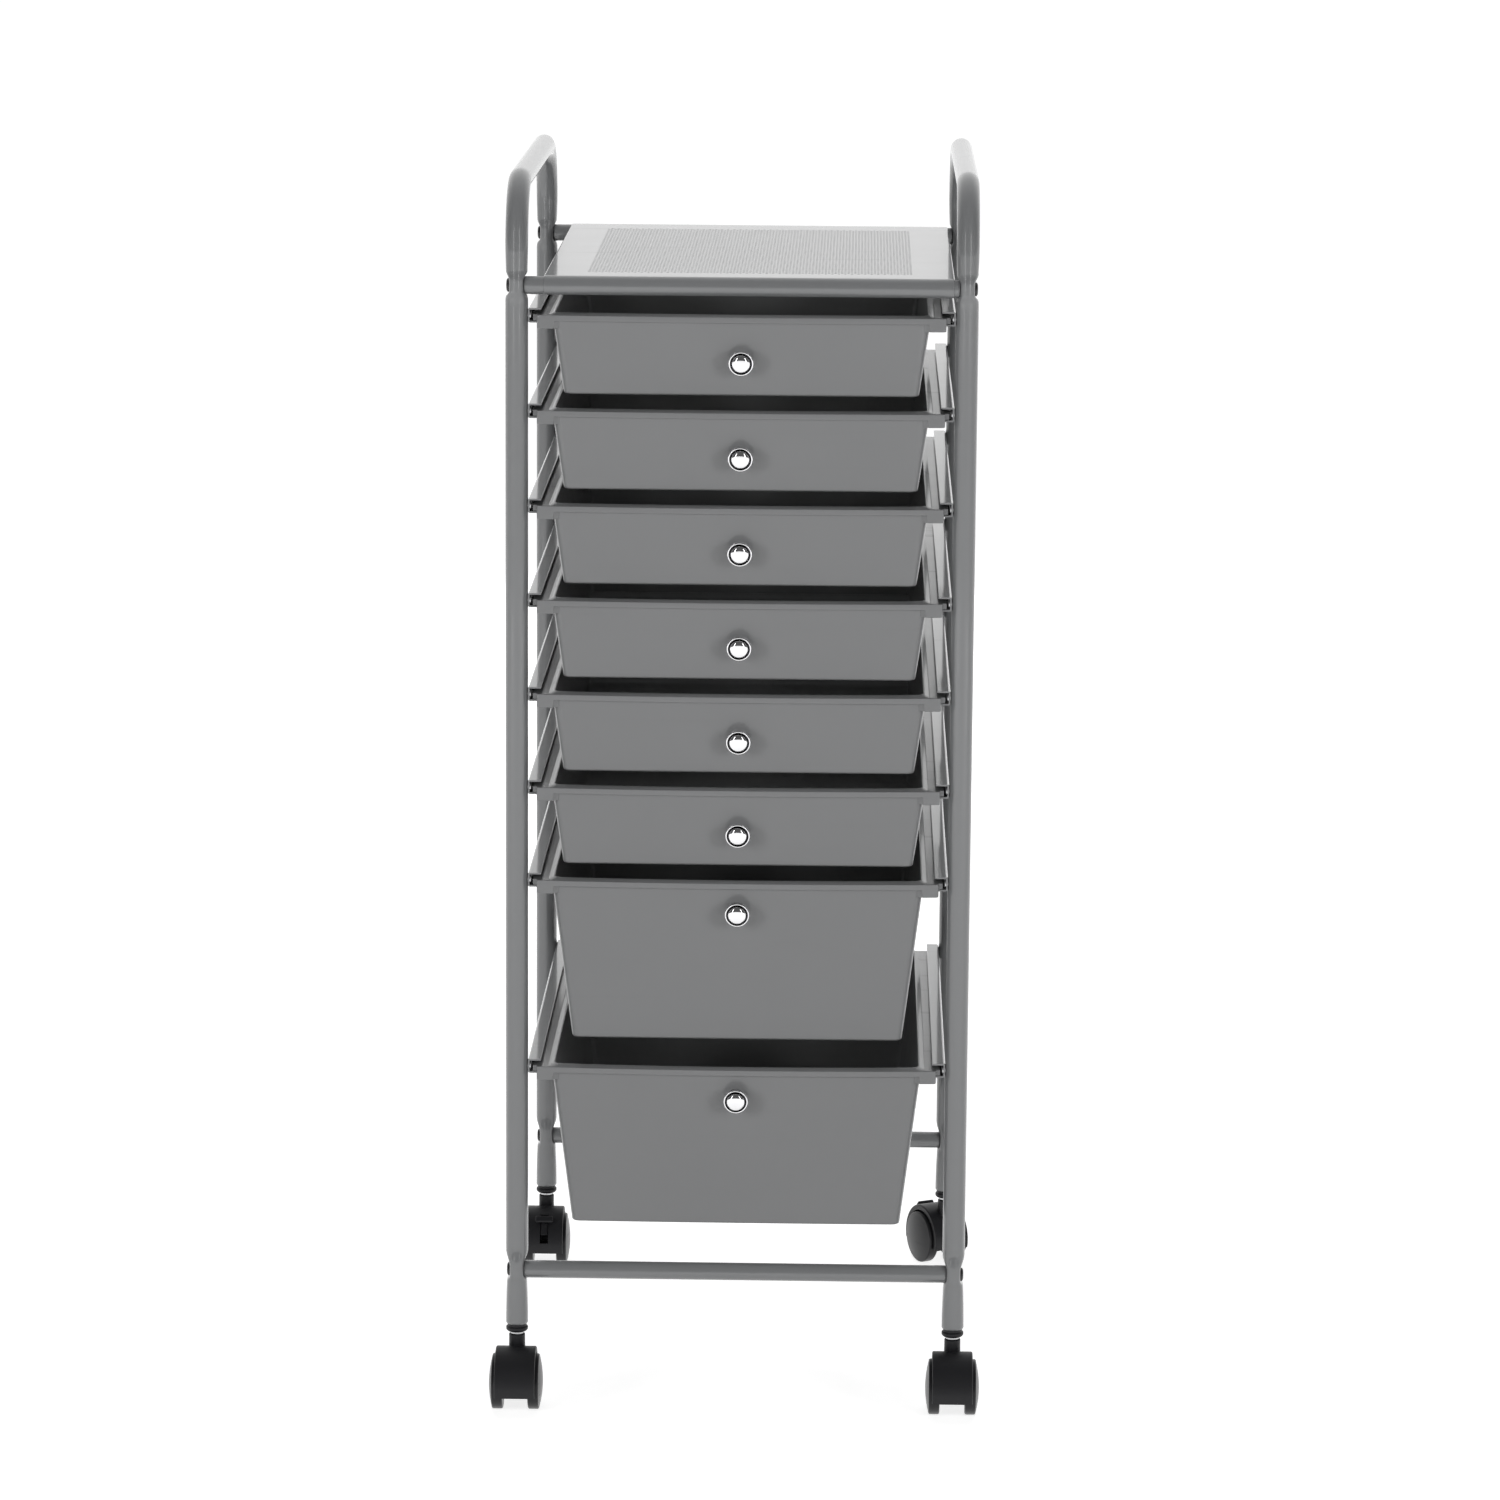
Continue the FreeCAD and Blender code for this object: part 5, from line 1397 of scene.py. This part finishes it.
def floor_material(stage):
    """Pale matt floor that takes shadows, with white added for the camera and for gloss, more far away."""
    material = bpy.data.materials.new("studio_floor")
    material.use_nodes = True
    tree = material.node_tree
    tree.nodes.clear()
    path = add_node(tree, "ShaderNodeLightPath").outputs
    seen = add_node(
        tree, "ShaderNodeMath", {0: path["Is Camera Ray"], 1: shiny_ray(tree, path)}, operation="MAXIMUM")
    place = add_node(tree, "ShaderNodeTexCoord").outputs["Object"]
    away = add_node(tree, "ShaderNodeVectorMath", {0: place}, operation="LENGTH").outputs["Value"]
    white = ramp(tree, away, stage.glow_start, stage.glow_end, stage.floor_glow, 1.0)
    level = add_node(tree, "ShaderNodeMath", {0: seen.outputs[0], 1: white}, operation="MULTIPLY")
    matt = add_node(tree, "ShaderNodeBsdfDiffuse", {"Color": FLOOR_GREY})
    glow = add_node(tree, "ShaderNodeEmission", {"Color": WHITE, "Strength": level.outputs[0]})
    both = add_node(tree, "ShaderNodeAddShader", {0: matt.outputs[0], 1: glow.outputs[0]})
    add_node(tree, "ShaderNodeOutputMaterial", {"Surface": both.outputs[0]})
    return material


def studio_floor(stage):
    """Flat square floor round the cart's foot."""
    mesh = bpy.data.meshes.new("studio_ground")
    reach = np.linspace(-FLOOR_REACH, FLOOR_REACH, 9)
    flat = np.stack(np.broadcast_arrays(reach[None], reach[:, None], 0.0), axis=-1)
    points, quads = grid(flat)
    mesh.from_pydata(points.tolist(), [], quads.tolist())
    mesh.materials.append(floor_material(stage))
    ground = bpy.data.objects.new("studio_ground", mesh)
    bpy.context.scene.collection.objects.link(ground)


def studio_camera(stage):
    """Camera that looks along +Y, turned right by its yaw, down by its pitch and over by its roll."""
    pitch = stage.camera_pitch
    yaw = stage.camera_yaw
    roll = stage.camera_roll
    ahead = np.array([math.sin(yaw) * math.cos(pitch), math.cos(yaw) * math.cos(pitch), -math.sin(pitch)])
    level = np.array([math.cos(yaw), -math.sin(yaw), 0.0])
    above = np.cross(level, ahead)
    turn = np.eye(4)
    turn[:3, 0] = math.cos(roll) * level + math.sin(roll) * above
    turn[:3, 1] = math.cos(roll) * above - math.sin(roll) * level
    turn[:3, 2] = -ahead
    turn[:3, 3] = stage.camera_place
    lens = bpy.data.cameras.new("studio_camera")
    lens.sensor_width = SENSOR_WIDTH
    lens.lens = stage.camera_lens
    lens.clip_end = CLIP_END
    camera = bpy.data.objects.new("studio_camera", lens)
    camera.matrix_world = Matrix(turn.tolist())
    bpy.context.scene.collection.objects.link(camera)
    return camera


class CART_OT_studio(bpy.types.Operator):
    """Set the floor, the lamps, the background and the camera"""
    bl_idname = "cart.studio"
    bl_label = "Studio"

    def execute(self, context):
        scene = context.scene
        stage = scene.cart_stage
        studio_floor(stage)
        scene.world = studio_world(stage)
        for side, sign in SIDES.items():
            add_lamp("slim_lamp_" + side, SLIM_LAMP, stage.slim_power, sign, in_gloss=True)
            add_lamp("soft_lamp_" + side, SOFT_LAMP, stage.soft_power, sign)
        add_lamp("top_lamp", TOP_LAMP, stage.top_power)
        add_lamp("back_lamp", BACK_LAMP, stage.back_power)
        scene.camera = studio_camera(stage)
        scene.view_settings.view_transform = "Standard"
        return {"FINISHED"}


OPERATORS = (
    CART_OT_side_frames, CART_OT_cross_rods, CART_OT_top_panel, CART_OT_rails, CART_OT_drawers,
    CART_OT_knobs, CART_OT_fasteners, CART_OT_tube_plugs, CART_OT_caster_hoods, CART_OT_caster_wheels,
    CART_OT_brake_levers, CART_OT_studio,
)


class CART_PT_pieces(bpy.types.Panel):
    """Buttons for each group of the cart's pieces, with the sizes and colours they use"""
    bl_label = "Drawer cart"
    bl_idname = "CART_PT_pieces"
    bl_space_type = "VIEW_3D"
    bl_region_type = "UI"
    bl_category = "Drawer cart"

    def draw(self, context):
        for operator in OPERATORS:
            self.layout.operator(operator.bl_idname)
        for settings in (context.scene.cart_shape, context.scene.cart_finish, context.scene.cart_stage):
            column = self.layout.column()
            for label in settings.__annotations__:
                column.prop(settings, label)


CLASSES = (CartFinish, CartShape, CartStage, *OPERATORS, CART_PT_pieces)


def register():
    for entry in CLASSES:
        bpy.utils.register_class(entry)
    bpy.types.Scene.cart_finish = PointerProperty(type=CartFinish)
    bpy.types.Scene.cart_shape = PointerProperty(type=CartShape)
    bpy.types.Scene.cart_stage = PointerProperty(type=CartStage)


def unregister():
    del bpy.types.Scene.cart_stage
    del bpy.types.Scene.cart_shape
    del bpy.types.Scene.cart_finish
    for entry in reversed(CLASSES):
        bpy.utils.unregister_class(entry)


def main():
    """Register the classes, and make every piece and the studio."""
    register()
    bpy.ops.cart.side_frames()
    bpy.ops.cart.cross_rods()
    bpy.ops.cart.top_panel()
    bpy.ops.cart.rails()
    bpy.ops.cart.drawers()
    bpy.ops.cart.knobs()
    bpy.ops.cart.fasteners()
    bpy.ops.cart.tube_plugs()
    bpy.ops.cart.caster_hoods()
    bpy.ops.cart.caster_wheels()
    bpy.ops.cart.brake_levers()
    bpy.ops.cart.studio()


if __name__ == "__main__":
    main()
